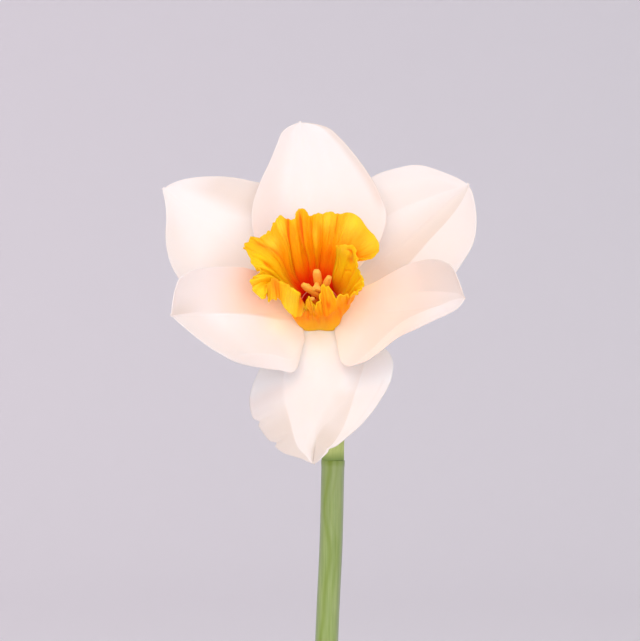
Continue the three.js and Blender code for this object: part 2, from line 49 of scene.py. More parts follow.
# %% [markdown]
# ## The camera
# The picture looks at the bloom level, from straight in front and from rather near, with a long lens.
# The camera stands where a picture of 640 points across shows 0.30 mm to a point at the bloom. The
# bloom's middle sits a little above the picture's middle, so the camera stands a little below it.

# %% Camera
BLOOM_MIDDLE = np.array([3.2, -39.5, 405.0]) * MM
CAMERA_DISTANCE = 0.750
SENSOR_WIDTH = 36.0
PICTURE_WIDTH = 640
POINT_AT_BLOOM = 0.30 * MM
POINTS_BELOW_BLOOM = 13.5

camera_data = bpy.data.cameras.new("camera")
camera_data.sensor_fit = "HORIZONTAL"
camera_data.sensor_width = SENSOR_WIDTH
camera_data.lens = SENSOR_WIDTH * CAMERA_DISTANCE / (PICTURE_WIDTH * POINT_AT_BLOOM)
camera_data.clip_start = 0.05
camera_data.clip_end = 40.0
camera = bpy.data.objects.new("camera", camera_data)
camera_drop = POINTS_BELOW_BLOOM * POINT_AT_BLOOM
camera.location = BLOOM_MIDDLE + np.array([0.0, -CAMERA_DISTANCE, -camera_drop])
camera.rotation_euler = (math.pi / 2, 0.0, 0.0)
bpy.context.scene.collection.objects.link(camera)
bpy.context.scene.camera = camera
print("lens:", round(camera_data.lens, 2), "mm")

# %% [markdown]
# ## Small tools for shapes
# A few soft steps and bumps describe most of a plant. Each works on a whole array at once.

# %% Soft steps and bumps
def smooth(x, start, stop):
    """Rises from 0 to 1 between start and stop, level at both ends: x squared times three less 2x."""
    share = np.clip((x - start) / (stop - start), 0.0, 1.0)
    return share * share * (3.0 - 2.0 * share)


def bell(x, middle, spread):
    """A bump of height 1: e to the power of minus the distance over the spread, squared."""
    return np.exp(-(((x - middle) / spread) ** 2))


def between(a, b, share):
    """The value a share of the way from a to b."""
    return a + (b - a) * share


def unit(vectors):
    """Each vector divided by its own length."""
    length = np.linalg.norm(vectors, axis=-1, keepdims=True)
    return vectors / np.maximum(length, 1e-12)


def turn_between(a, b):
    """The turn from b to a in degrees, between -180 and 180."""
    return (a - b + 180.0) % 360.0 - 180.0


def curve_through(knots, share, wrap=False):
    """A smooth path through the knots: each stretch blends them by the four cubic weights.

    With wrap, the path closes on its first knot."""
    knots = np.asarray(knots, dtype=float)
    if wrap:
        place = share * len(knots)
        index = np.minimum(place.astype(int), len(knots) - 1)
        around = [knots[(index + k) % len(knots)] for k in (-1, 0, 1, 2)]
    else:
        padded = np.concatenate([2 * knots[:1] - knots[1:2], knots, 2 * knots[-1:] - knots[-2:-1]])
        place = np.clip(share, 0, 1) * (len(knots) - 1)
        index = np.minimum(place.astype(int), len(knots) - 2)
        around = [padded[index + k] for k in range(4)]
    x = (place - index).reshape((-1,) + (1,) * (knots.ndim - 1))
    a, b, c, d = around
    return 0.5 * (2 * b + (c - a) * x + (2 * a - 5 * b + 4 * c - d) * x ** 2
                  + (3 * b - a - 3 * c + d) * x ** 3)


# %% [markdown]
# ## From arrays to meshes
# A surface is a grid of points. Its faces are the quads between neighbours, numbered row by row, so
# they too come from whole arrays. A thin thing, such as a petal, gets a front and a back grid with a
# rim between them. A round thing has a grid that closes on itself, and its ends shrink to a point,
# where the doubles are merged. The signed volume tells whether the faces point out.

# %% Grids and meshes
def grid_quads(rows, columns, wrap=False):
    """The four corners of each quad of a grid. With wrap, the last column joins the first."""
    steps = columns if wrap else columns - 1
    row, column = np.meshgrid(np.arange(rows - 1), np.arange(steps), indexing="ij")
    here = (row * columns + column).ravel()
    right = (row * columns + (column + 1) % columns).ravel()
    return np.stack([here, right, right + columns, here + columns], axis=1)


def volume_of(points, quads):
    """Six times the signed volume: the sum of each triangle's corner products."""
    a, b, c, d = (points[quads[:, k]] for k in range(4))
    first = np.einsum("ij,ij->i", a, np.cross(b, c))
    second = np.einsum("ij,ij->i", a, np.cross(c, d))
    return float(np.sum(first + second))


def make_mesh(name, points, quads, values, merge_ends=False):
    """A closed mesh with smooth shading. Values are numbers at the points, kept for the materials."""
    points = points.reshape(-1, 3)
    if volume_of(points, quads) < 0.0:
        quads = quads[:, ::-1]
    mesh = bpy.data.meshes.new(name)
    mesh.from_pydata(points.tolist(), [], quads.tolist())
    for key, value in values.items():
        layer = mesh.attributes.new(key, "FLOAT", "POINT")
        layer.data.foreach_set("value", np.ravel(value).astype(np.float32))
    if merge_ends:
        work = bmesh.new()
        work.from_mesh(mesh)
        bmesh.ops.remove_doubles(work, verts=work.verts, dist=1e-7)
        work.to_mesh(mesh)
        work.free()
    mesh.shade_smooth()
    mesh.update()
    piece = bpy.data.objects.new(name, mesh)
    bpy.context.scene.collection.objects.link(piece)
    return piece


# %% Sheets and round solids
def sheet(name, surface, thickness, values, wrap=False):
    """A surface given a thickness: a front and a back half of it away, square to the surface.

    The value called side is 0 on the front and 1 on the back."""
    along = np.gradient(surface, axis=0)
    over = np.gradient(surface, axis=1)
    if wrap:
        over = np.roll(surface, -1, axis=1) - np.roll(surface, 1, axis=1)
    offset = unit(np.cross(over, along)) * np.broadcast_to(thickness, surface.shape[:2])[..., None] / 2
    rows, columns = surface.shape[:2]
    count = rows * columns
    number = np.arange(count).reshape(rows, columns)
    if wrap:
        loops = [number[0], number[-1][::-1]]
    else:
        sides = [number[0], number[1:, -1], number[-1, -2::-1], number[-2:0:-1, 0]]
        loops = [np.concatenate(sides)]
    quads = grid_quads(rows, columns, wrap)
    rims = []
    for loop in loops:
        following = np.roll(loop, -1)
        rims.append(np.stack([following, loop, loop + count, following + count], axis=1))
    faces = np.concatenate([quads, quads[:, ::-1] + count, *rims])
    both = {key: np.stack([np.broadcast_to(v, (rows, columns))] * 2) for key, v in values.items()}
    both["side"] = np.stack([np.zeros((rows, columns)), np.ones((rows, columns))])
    points = np.stack([surface + offset, surface - offset])
    return make_mesh(name, points, faces, both)


def round_solid(name, rings, values):
    """A solid through closed rings of points, whose first and last rings shrink to their middles."""
    first = np.broadcast_to(rings[0].mean(axis=0), rings[0].shape)
    last = np.broadcast_to(rings[-1].mean(axis=0), rings[-1].shape)
    points = np.concatenate([first[None], rings, last[None]])
    rows, columns = points.shape[:2]
    spread = {}
    for key, value in values.items():
        value = np.broadcast_to(value, rings.shape[:2])
        spread[key] = np.concatenate([value[:1], value, value[-1:]])
    return make_mesh(name, points, grid_quads(rows, columns, wrap=True), spread, merge_ends=True)


# %% Dress a piece
def dress(piece, finish, slot, *nodes):
    """Gives a piece its finish, its body, and the nodes that it stands for. The slot is not used."""
    piece.data.materials.append(finish.material)
    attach(piece, "root")
    if nodes:
        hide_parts(*nodes)
    print(piece.name, "faces:", len(piece.data.polygons))
    return piece


# %% [markdown]
# ## Small tools for materials
# A finish is a chain of nodes that ends in one shader. Its methods keep the chains short to read:
# one adds a node and links what it is given, one turns a value into a colour, one mixes two colours.
# Colours are given as they look on a screen, from 0 to 255, and turned into the light they stand for.

# %% Colours
def colour(red, green, blue):
    """Screen values turned into light: the value over 255, to the power of about 2.2."""
    screen = np.array([red, green, blue]) / 255.0
    light = np.where(screen <= 0.04045, screen / 12.92, ((screen + 0.055) / 1.055) ** 2.4)
    return (*light.tolist(), 1.0)


# %% A finish and its nodes
class Finish:
    """A material with one shader, and a short method for each kind of node that it takes.

    Soft is the share of the light that goes in and comes out again near by, how far it gets in metres,
    and how far red, green and blue get beside that."""

    def __init__(self, name, rough, shine=0.5, soft=None):
        self.material = bpy.data.materials.new(name)
        self.material.use_nodes = True
        self.tree = self.material.node_tree
        self.shader = self.tree.nodes["Principled BSDF"]
        sockets = {"Roughness": rough, "Specular IOR Level": shine}
        if soft:
            sockets["Subsurface Weight"], sockets["Subsurface Scale"], sockets["Subsurface Radius"] = soft
        for key, value in sockets.items():
            self.shader.inputs[key].default_value = value
        self.coat = None
        print("finish:", name)

    def node(self, kind, inputs=None, **settings):
        """Adds a node with its settings. An input is a plain value, or another node's output to link."""
        new = self.tree.nodes.new("ShaderNode" + kind)
        for key, value in settings.items():
            setattr(new, key, value)
        for key, value in (inputs or {}).items():
            if isinstance(value, bpy.types.NodeSocket):
                self.tree.links.new(value, new.inputs[key])
            else:
                new.inputs[key].default_value = value
        return new

    def value(self, name):
        """A number kept at the mesh's points."""
        return self.node("Attribute", attribute_name=name).outputs["Fac"]

    def stepped(self, factor, stops):
        """A colour ramp. Stops are a place and a colour, with a blend in between."""
        new = self.node("ValToRGB", {"Fac": factor})
        elements = new.color_ramp.elements
        elements[0].position, elements[0].color = stops[0]
        elements[1].position, elements[1].color = stops[-1]
        for place, tone in stops[1:-1]:
            elements.new(place).color = tone
        return new.outputs["Color"]

    def ramp(self, factor, *stops):
        """Turns a value into a colour. A stop is its place, then its red, green and blue."""
        return self.stepped(factor, [(place, colour(*tone)) for place, *tone in stops])

    def mask(self, factor, *stops):
        """Turns a value into a share. A stop is its place and its share."""
        return self.stepped(factor, [(place, (share, share, share, 1.0)) for place, share in stops])

    def mix(self, share, first, second, way="MIX"):
        """Two colours mixed by a share. Each is an output, or its red, green and blue."""
        first, second = (colour(*tone) if isinstance(tone, tuple) else tone for tone in (first, second))
        new = self.node("Mix", {0: share, 6: first, 7: second}, data_type="RGBA", blend_type=way)
        return new.outputs[2]

    def maths(self, operation, *values):
        """One sum, product or the like of its values."""
        return self.node("Math", dict(enumerate(values)), operation=operation).outputs[0]

    def placed(self, stretch=(1.0, 1.0, 1.0)):
        """Places in metres on the piece, stretched along each axis."""
        where = self.node("TexCoord").outputs["Object"]
        return self.node("Mapping", {"Vector": where, "Scale": stretch}).outputs["Vector"]

    def flat_place(self, across, along):
        """Places on the blade itself, across and along it, each times its own number."""
        x = self.maths("MULTIPLY", self.value("across"), across)
        y = self.maths("MULTIPLY", self.value("along"), along)
        return self.node("CombineXYZ", {"X": x, "Y": y}).outputs[0]

    def noise(self, where, scale, detail=4.0, roughness=0.55):
        """Soft noise, from 0 to 1."""
        inputs = {"Vector": where, "Scale": scale, "Detail": detail, "Roughness": roughness}
        return self.node("TexNoise", inputs).outputs["Fac"]

    def paint(self, output):
        """Makes an output the piece's colour, and keeps it for a further coat."""
        self.coat = output
        self.tree.links.new(output, self.shader.inputs["Base Color"])

    def bump(self, height, distance, strength):
        """Gives the surface a relief of the given height in metres."""
        inputs = {"Height": height, "Distance": distance, "Strength": strength}
        relief = self.node("Bump", inputs).outputs["Normal"]
        self.tree.links.new(relief, self.shader.inputs["Normal"])


# %% [markdown]
# ## The bloom's own directions
# The bloom looks up by 27 degrees and turns a little to one side, so it is drawn in directions of its
# own: out of its face, across it, and up over it. An angle in the bloom runs clockwise from the top.

# %% Directions of the bloom
BLOOM_TILT = math.radians(27.0)
BLOOM_YAW = math.radians(5.0)
OUT = np.array([
    -math.sin(BLOOM_YAW) * math.cos(BLOOM_TILT),
    -math.cos(BLOOM_YAW) * math.cos(BLOOM_TILT),
    math.sin(BLOOM_TILT),
])
ACROSS = np.array([math.cos(BLOOM_YAW), -math.sin(BLOOM_YAW), 0.0])
UP = np.cross(OUT, ACROSS)
print("the bloom looks towards:", OUT.round(3))


def bloom_direction(degrees):
    """Away from the bloom's axis: across times the sine of the angle, plus up times its cosine."""
    angle = np.radians(np.asarray(degrees, dtype=float))[..., None]
    return ACROSS * np.sin(angle) + UP * np.cos(angle)


def in_bloom(direction, radius, height):
    """A point at a radius and height (mm) from the bloom's middle."""
    radius, height = np.broadcast_arrays(radius, height)
    return BLOOM_MIDDLE + (direction * radius[..., None] + OUT * height[..., None]) * MM


# %% [markdown]
# ## Petals
# A daffodil has six petals in two whorls of three. No two lie alike: one folds along its middle, one
# is rolled at its edge, one has pleats. Each petal here is one surface of two parameters. Its spine
# leans out of the bloom bit by bit, each half has its own half widths, fold and curl, and creases,
# ridges, waves and dents are added where the real petal has them. Modelling each by hand would work
# too, but a formula keeps all six closed, thin and alike in kind.

# %% Petal outlines
TUBE_RADIUS = 6.5
PETAL_FOOT = TUBE_RADIUS + 0.3
INNER_WHORL = 0.9
OUTER_WHORL = -1.0
TIP_POINT = 0.01
TIP_HALF_WIDTH = 0.4
TIP_CROWDING = 1.5
SHARP_TIP = 0.3


def towards_tip(share):
    """Places along a petal that crowd towards its tip: one less a power of the rest."""
    return 1 - (1 - share) ** TIP_CROWDING


def half_width(s, widths):
    """A smooth curve through nine half widths in mm, which end just before the small point at the tip."""
    x = np.clip(s / (1 - TIP_POINT), 0.0, 1.0)
    share = 1 - (1 - x) ** (1 / TIP_CROWDING)
    point = TIP_HALF_WIDTH * np.clip((1 - s) / TIP_POINT, SHARP_TIP, 1)
    return np.maximum(curve_through(widths, share), point)


# %% Spines and lines
WALK_STEPS = 400


def walked(direction, length, s):
    """The path of a walk whose direction is known at each share of its length: the sum of its steps."""
    middles = (np.arange(WALK_STEPS) + 0.5) / WALK_STEPS
    run = np.cumsum(direction(middles), axis=0) * length / WALK_STEPS
    run = np.concatenate([np.zeros((1, 3)), run])
    at_step = np.linspace(0, 1, WALK_STEPS + 1)
    return np.stack([np.interp(s, at_step, run[:, k]) for k in range(3)], axis=1)


def line_across(places, rows):
    """Where a line runs across the petal: a smooth curve through its places at foot, middle and tip."""
    at_foot, at_middle, at_tip = places
    ends = at_foot * (1 - rows) - at_tip * rows
    return ends * (1 - 2 * rows) + 4 * at_middle * rows * (1 - rows)


# %% Petal surface
# A petal's folds and curls grow over its lower part: the whole length divided by this number.
GROWS_OVER = 1.8
# A half narrower than this, in mm, has shallower ridges and waves.
FULL_RELIEF_WIDTH = 12.0
NEARLY_FLAT = 1e-4


def petal_surface(shape, s, t):
    """The petal's middle surface, s from foot to tip and t from -1 to 1 across it.

    The spine's direction turns from the petal's own way out towards the bloom's face by the lean, and
    its steps add up to the spine. From the spine each half runs sideways along an arc that starts at
    the fold's angle and bends by the curl. Beyond a crease the half turns by one more angle. Ridges
    and waves raise it square to the petal."""
    away = bloom_direction(shape["around"])
    aside = bloom_direction(shape["around"] + 90.0)

    def directions(at):
        """Three directions square to each other: along the spine, over to its side, up from its face."""
        lean = np.radians(between(*shape["lean"], at))[:, None]
        swing = np.radians(shape["sweep"] * at)[:, None]
        outward = away * np.cos(swing) + aside * np.sin(swing)
        along = outward * np.cos(lean) + OUT * np.sin(lean)
        over = aside * np.cos(swing) - away * np.sin(swing)
        up = OUT * np.cos(lean) - outward * np.sin(lean)
        return along, over, up

    spine = walked(lambda at: directions(at)[0], shape["length"], s)
    spine = spine + away * PETAL_FOOT + OUT * shape["level"]
    over, up = directions(s)[1:]

    rows, columns = s[:, None], t[None, :]
    out = np.abs(columns)

    def of_half(work_out):
        """The left half's value before the petal's middle, and the right half's value after it."""
        return np.where(columns < 0, work_out(shape["left"]), work_out(shape["right"]))

    width = of_half(lambda half: half_width(s, half["widths"])[:, None])
    for side, place, spread, depth in shape.get("dents", []):
        width = width * (1 - depth * bell(rows, place, spread) * smooth(columns * side, 0.5, 1.0))
    grown = 1 - (1 - np.clip(GROWS_OVER * rows, 0, 1)) ** 2
    fold = np.radians(of_half(lambda half: half["fold"])) * grown
    curl = np.radians(of_half(lambda half: half["curl"])) * 2 * grown + NEARLY_FLAT
    sideways = (np.sin(fold + curl * out) - np.sin(fold)) / curl
    rise = (np.cos(fold) - np.cos(fold + curl * out)) / curl * width
    for side, places, bend, softness in shape.get("creases", []):
        beyond = side * (columns - line_across(places, rows))
        turned_up = 0.5 * (beyond + np.sqrt(beyond ** 2 + softness ** 2))
        rise = rise + math.tan(math.radians(bend)) * turned_up * width * grown
    level = np.minimum(width / FULL_RELIEF_WIDTH, 1.0)
    for at_foot, at_tip, spread, height, begin, end in shape.get("ridges", []):
        there = smooth(rows, begin - 0.12, begin + 0.12) * (1 - smooth(rows, end - 0.12, end + 0.12))
        rise = rise + height * bell(columns, between(at_foot, at_tip, rows), spread) * there * level
    for side, height, count, phase in shape.get("waves", []):
        ripple = np.sin(2 * np.pi * count * rows + phase)
        rise = rise + height * ripple * smooth(columns * side, 0.45, 1.0) * grown * level
    reach = np.sign(columns) * sideways * width
    points = spine[:, None] + over[:, None] * reach[..., None] + up[:, None] * rise[..., None]
    return BLOOM_MIDDLE + points * MM


# %% [markdown]
# The sizes and folds of the six petals. Left and right are the halves before and after the petal's
# middle, clockwise. Each half has nine half widths in mm from foot to tip, the angle of its fold and
# of its curl. A crease is its side, where it runs across the petal at foot, middle and tip, its bend
# in degrees and its softness. A ridge is its place across at the foot and at the tip, its spread, its
# height in mm, and where along the petal it begins and ends. A wave is its side, height, count and
# start. A dent is its side, place, spread and depth.
#
# Painted shade leaves the folded panels, and the places that other petals and the cup shade, beige. Painted
# light leaves some panels paler, and the petals' feet are peach. Such a tone lies between two lines across
# the petal. It has its softness at each line, the four places along the petal between which it comes and
# goes, and its strength.

# %% The six petals
def beside(line, by):
    """The same line a little further across."""
    return tuple(place + by for place in line)


LEFT_EDGE = (-1.4, -1.4, -1.4)
RIGHT_EDGE = (1.4, 1.4, 1.4)
TOP_MARGIN = (0.9, 0.9, 0.78)
LOW_RIGHT_CREASE = (-0.42, -0.42, -0.17)
LOW_RIGHT_RIM = (2.4, 0.45, -0.05)
LOW_LEFT_CREASE = (-0.22, 0.1, 0.0)
LOW_LEFT_LIP = (-0.92, -0.77, -1.1)
UP_RIGHT_RIDGE = (-0.5, -0.42, -0.1)
UP_RIGHT_VALLEY = (0.6, 0.26, 0.3)
BOTTOM_FOLD = (0.66, 0.48, 0.6)
BOTTOM_VALLEY = (-0.55, -0.35, 0.35)
BOTTOM_PANEL = (-0.85, -0.54, -1.0)
PETALS = {
    "petal_top": {
        "node": "tepal_top", "around": -9.0, "length": 51.5, "lean": (10.0, 24.0), "sweep": 4.0,
        "level": INNER_WHORL,
        "left": {"widths": (6.8, 14.4, 17.6, 17.2, 14.2, 10.6, 7.9, 5.6, 0.5), "fold": 4, "curl": 12},
        "right": {"widths": (8.7, 19.8, 24.4, 23.4, 20.3, 16.6, 12.8, 8.6, 0.5), "fold": 4, "curl": 14},
        "creases": [(1, (0.55, 0.62, 0.5), -12, 0.1)],
        "ridges": [(-0.30, -0.30, 0.16, 0.4, 0.1, 1.0), (0.32, 0.32, 0.16, 0.4, 0.1, 1.0)],
        "waves": [(1, 0.4, 1.6, 0.4), (-1, 0.4, 1.3, 2.0)],
        "shade": [(TOP_MARGIN, RIGHT_EDGE, 0.08, 0.1, (0.35, 0.5, 1.2, 1.3), 0.75),
                  (LEFT_EDGE, (-0.55, -0.55, -0.4), 0.1, 0.3, (0.2, 0.4, 1.2, 1.3), 0.25)],
    },
    "petal_low_right": {
        "node": "tepal_low_right", "around": 105.0, "length": 47.6, "lean": (18.0, 50.0), "sweep": -2.0,
        "level": INNER_WHORL,
        "left": {"widths": (6.3, 8.4, 11.0, 12.8, 13.4, 13.0, 11.4, 8.6, 0.5), "fold": 12, "curl": 12},
        "right": {"widths": (7.2, 19.8, 20.6, 10.8, 7.4, 5.2, 4.0, 2.8, 0.5), "fold": 8, "curl": 10},
        "creases": [(-1, LOW_RIGHT_CREASE, 12, 0.06), (1, LOW_RIGHT_RIM, -16, 0.04)],
        "waves": [(1, 0.4, 1.5, 1.0)],
        "shade": [(LEFT_EDGE, LOW_RIGHT_CREASE, 0.1, 0.02, (0.45, 0.68, 1.2, 1.3), 0.65),
                  ((-0.3, -0.3, -0.3), LOW_RIGHT_RIM, 0.25, 0.02, (0.35, 0.6, 0.96, 1.0), 0.5)],
        "blush": [(LEFT_EDGE, LOW_RIGHT_RIM, 0.1, 0.03, (0.0, 0.4, 0.5, 1.0), 0.62),
                  (LOW_RIGHT_RIM, RIGHT_EDGE, 0.03, 0.1, (0.1, 0.2, 0.45, 0.8), 0.8),
                  (LEFT_EDGE, RIGHT_EDGE, 0.1, 0.1, (-0.2, -0.1, 0.1, 0.45), 0.4)],
    },
    "petal_low_left": {
        "node": "tepal_low_left", "around": -106.0, "length": 46.0, "lean": (20.0, 50.0), "sweep": -16.0,
        "level": INNER_WHORL,
        "left": {"widths": (9.6, 21.9, 22.2, 22.2, 22.2, 22.0, 20.0, 14.4, 0.5), "fold": 12, "curl": 4},
        "right": {"widths": (6.6, 10.5, 12.4, 12.8, 12.8, 12.3, 10.9, 8.2, 0.5), "fold": 14, "curl": 14},
        "creases": [(-1, LOW_LEFT_LIP, -22, 0.04), (1, LOW_LEFT_CREASE, 16, 0.03)],
        "waves": [(-1, 0.4, 1.5, 1.0)],
        "shade": [(LOW_LEFT_CREASE, (0.2, 0.2, 0.3), 0.015, 0.35, (0.62, 0.92, 1.2, 1.3), 0.85),
                  (LOW_LEFT_LIP, (-0.4, -0.4, -0.4), 0.02, 0.3, (0.1, 0.25, 0.62, 0.8), 0.22)],
        # Painted light on the lower half, which faces the light.
        "pale": [(LOW_LEFT_LIP, beside(LOW_LEFT_CREASE, -0.05), 0.05, 0.04, (-0.2, 0.0, 0.55, 0.8), 0.8)],
        "blush": [(beside(LOW_LEFT_CREASE, -0.05), RIGHT_EDGE, 0.04, 0.1, (-0.2, -0.1, 0.3, 0.72), 0.84),
                  (LOW_LEFT_LIP, (-0.2, -0.2, -0.2), 0.02, 0.3, (-0.2, -0.1, 0.6, 0.85), 0.14)],
    },
    "petal_up_right": {
        "node": "tepal_up_right", "around": 48.0, "length": 53.0, "lean": (4.0, 8.0), "sweep": 0.0,
        "level": OUTER_WHORL,
        "left": {"widths": (7.8, 14.5, 18.8, 22.0, 21.6, 18.6, 14.6, 7.2, 0.5), "fold": 2, "curl": 6},
        "right": {"widths": (6.8, 15.0, 20.0, 20.8, 19.3, 16.9, 12.0, 6.0, 0.5), "fold": 2, "curl": 4},
        "creases": [(1, UP_RIGHT_RIDGE, -14, 0.08), (1, UP_RIGHT_VALLEY, 26, 0.03)],
        "waves": [(-1, 0.4, 1.4, 0.0), (1, 0.4, 1.2, 1.5)],
        "shade": [((-0.25, -0.15, 0.0), UP_RIGHT_VALLEY, 0.4, 0.015, (0.05, 0.2, 1.2, 1.3), 1.0),
                  ((-0.9, -0.8, -0.5), UP_RIGHT_RIDGE, 0.3, 0.03, (0.35, 0.5, 0.9, 1.0), 0.4),
                  (LEFT_EDGE, RIGHT_EDGE, 0.1, 0.2, (-0.2, -0.1, 1.2, 1.3), 0.2)],
        "blush": [(UP_RIGHT_VALLEY, RIGHT_EDGE, 0.05, 0.1, (-0.2, -0.1, 0.25, 0.5), 0.4)],
    },
    "petal_bottom": {
        "node": "tepal_bottom", "around": 177.0, "length": 51.0, "lean": (6.0, 22.0), "sweep": 4.5,
        "level": OUTER_WHORL,
        "left": {"widths": (11.0, 20.5, 21.4, 18.2, 13.6, 8.4, 4.2, 1.9, 0.6), "fold": 0, "curl": -6},
        "right": {"widths": (8.4, 17.1, 21.2, 20.5, 16.9, 13.1, 9.1, 3.6, 0.6), "fold": 0, "curl": -4},
        "creases": [(1, BOTTOM_FOLD, -30, 0.03), (-1, BOTTOM_VALLEY, -22, 0.08),
                    (-1, BOTTOM_PANEL, 34, 0.03)],
        "ridges": [(0.05, 0.05, 0.16, 0.6, 0.1, 0.8)],
        "dents": [(1, 0.57, 0.02, 0.06), (1, 0.76, 0.02, 0.1), (-1, 0.853, 0.018, 0.14)],
        "waves": [(1, 0.4, 2.2, 0.5)],
        # Painted light near the foot, where the other petals' shadow falls.
        "pale": [(LEFT_EDGE, (-0.35, -0.35, -0.35), 0.1, 0.12, (-0.2, -0.1, 0.34, 0.5), 0.9),
                 ((0.3, 0.3, 0.3), RIGHT_EDGE, 0.15, 0.1, (-0.2, -0.1, 0.32, 0.45), 0.9)],
        "shade": [(BOTTOM_FOLD, RIGHT_EDGE, 0.015, 0.1, (-0.2, -0.1, 1.2, 1.3), 0.22),
                  (BOTTOM_FOLD, RIGHT_EDGE, 0.015, 0.1, (0.4, 0.7, 1.2, 1.3), 0.85),
                  (LEFT_EDGE, RIGHT_EDGE, 0.1, 0.1, (0.25, 0.6, 1.2, 1.3), 0.25),
                  (BOTTOM_PANEL, BOTTOM_VALLEY, 0.02, 0.24, (0.1, 0.3, 1.2, 1.3), 0.7),
                  (BOTTOM_PANEL, beside(BOTTOM_VALLEY, 0.15), 0.02, 0.2, (0.35, 0.5, 1.2, 1.3), 0.5),
                  (BOTTOM_PANEL, BOTTOM_VALLEY, 0.02, 0.12, (0.5, 0.8, 1.2, 1.3), 1.0),
                  (LEFT_EDGE, BOTTOM_PANEL, 0.1, 0.02, (0.2, 0.5, 1.2, 1.3), 0.26),
                  ((-0.98, -0.9, -0.88), (-0.92, -0.84, -0.8), 0.02, 0.03, (0.3, 0.4, 0.85, 0.95), 0.35)],
    },
    "petal_up_left": {
        "node": "tepal_up_left", "around": -52.0, "length": 56.0, "lean": (4.0, 10.0), "sweep": -1.0,
        "level": OUTER_WHORL,
        "left": {"widths": (6.3, 15.0, 21.0, 22.8, 20.2, 14.6, 7.4, 2.8, 0.5), "fold": 6, "curl": 10},
        "right": {"widths": (7.6, 13.6, 18.2, 20.0, 17.5, 14.3, 10.2, 5.6, 0.5), "fold": 4, "curl": 6},
        "creases": [(1, (0.3, 0.35, 0.6), 12, 0.12)],
        "waves": [(-1, 0.4, 1.4, 0.6), (1, 0.4, 1.6, 2.0)],
        "shade": [(LEFT_EDGE, RIGHT_EDGE, 0.1, 0.1, (-0.2, -0.1, 0.38, 0.66), 0.6),
                  (LEFT_EDGE, (-0.5, -0.5, -0.5), 0.1, 0.3, (0.3, 0.5, 0.75, 0.95), 0.3),
                  ((0.45, 0.45, 0.5), RIGHT_EDGE, 0.2, 0.1, (0.1, 0.4, 0.75, 0.95), 0.75)],
    },
}
print("petals:", len(PETALS))

# %% [markdown]
# The petal's finish: nearly white, a little warm, soft as tissue. Light goes into it and comes out again
# near by, which the shader calls subsurface. Fine veins run from foot to tip, along the blade's own across
# and along. The painted shade, painted light and peach come from the petal's own values, and where the
# petals touch the cup a painted warm light shows a trace of its yellow.

# %% Petal finish
def petal_finish():
    """White tissue with veins that follow the petal, painted shade on folds, painted light on some panels,
    a peach foot and a painted warm light near the cup.
    """
    tissue = Finish("petal_tissue", 0.55, 0.2, (0.5, 0.003, (1.0, 0.76, 0.62)))
    veins = tissue.noise(tissue.flat_place(34.0, 1.6), 1.0, 3.0, 0.6)
    cloud = tissue.noise(tissue.placed(), 70.0, 3.0)
    white = tissue.ramp(veins, (0.3, 250, 232, 225), (0.7, 252, 237, 231))
    cream = tissue.mix(cloud, white, (251, 234, 226))
    # Painted light: paler panels that face the light, and places in the other petals' shadow.
    pale = tissue.mix(tissue.value("pale"), cream, (255, 253, 251))
    blushed = tissue.mix(tissue.value("blush"), pale, (255, 212, 190))
    # Painted shade: beige on folded panels and where other petals and the cup cast shadow.
    shaded = tissue.mix(tissue.value("shade"), blushed, (226, 205, 192))
    # Painted warm light at the feet, for the cup's light falling on them.
    tissue.paint(tissue.mix(tissue.value("painted_cup_light"), shaded, (255, 251, 228)))
    tissue.bump(veins, 0.12 * MM, 0.5)
    return tissue


petal_tissue = petal_finish()

# %% Make the petals
PETAL_ROWS = 136
PETAL_COLUMNS = 109
PETAL_THICK = 0.6
PETAL_THIN = 0.26
BLADE_HALF_WIDTH = 20.0
# Strength of the painted warm light at the petals' feet.
PAINTED_CUP_LIGHT_STRENGTH = 0.6
# The tones: painted light, the peach blush and painted shade.
TONES = ("pale", "blush", "shade")


def tones(bands, rows, columns):
    """The strongest of the tones at each point. A tone is the product of four soft steps."""
    strongest = np.zeros(np.broadcast_shapes(rows.shape, columns.shape))
    for first, second, first_soft, second_soft, along, strength in bands:
        near = columns - line_across(first, rows)
        far = line_across(second, rows) - columns
        across = smooth(near, -first_soft, first_soft) * smooth(far, -second_soft, second_soft)
        lengthways = smooth(rows, along[0], along[1]) * (1 - smooth(rows, along[2], along[3]))
        strongest = np.maximum(strongest, strength * across * lengthways)
    return strongest


petal_s = towards_tip(np.linspace(0, 1, PETAL_ROWS))
petal_t = np.linspace(-1, 1, PETAL_COLUMNS)
for name, shape in PETALS.items():
    rows, columns = petal_s[:, None], petal_t[None, :]
    thickness = between(PETAL_THICK, PETAL_THIN, np.maximum(np.abs(columns) ** 3, rows ** 3)) * MM
    values = {tone: tones(shape.get(tone, []), rows, columns) for tone in TONES}
    values["along"] = rows * shape["length"]
    values["across"] = columns * BLADE_HALF_WIDTH
    # Painted warm light near the foot, beside the cup.
    values["painted_cup_light"] = PAINTED_CUP_LIGHT_STRENGTH * (1 - smooth(rows, 0.06, 0.3))
    petal = sheet(name, petal_surface(shape, petal_s, petal_t), thickness, values)
    dress(petal, petal_tissue, "tepal", shape["node"])

# %% [markdown]
# ## The cup
# The cup, or corona, is one deep funnel of orange tissue, pleated into ribs, with a ragged rim. Its
# upper right lobe is rolled out and smooth, the wall beside it folds in behind a second lobe, and at
# the lower left the rim curls over. Such a shape has no formula, so it is modelled as a sculptor
# would: stations run round the cup, each with four points on the wall, and smooth curves go through
# them, first round and then up. Finer ribs and teeth are waves added to that.

# %% Cup stations
CUP_MIDDLE_HEIGHT = 9.0
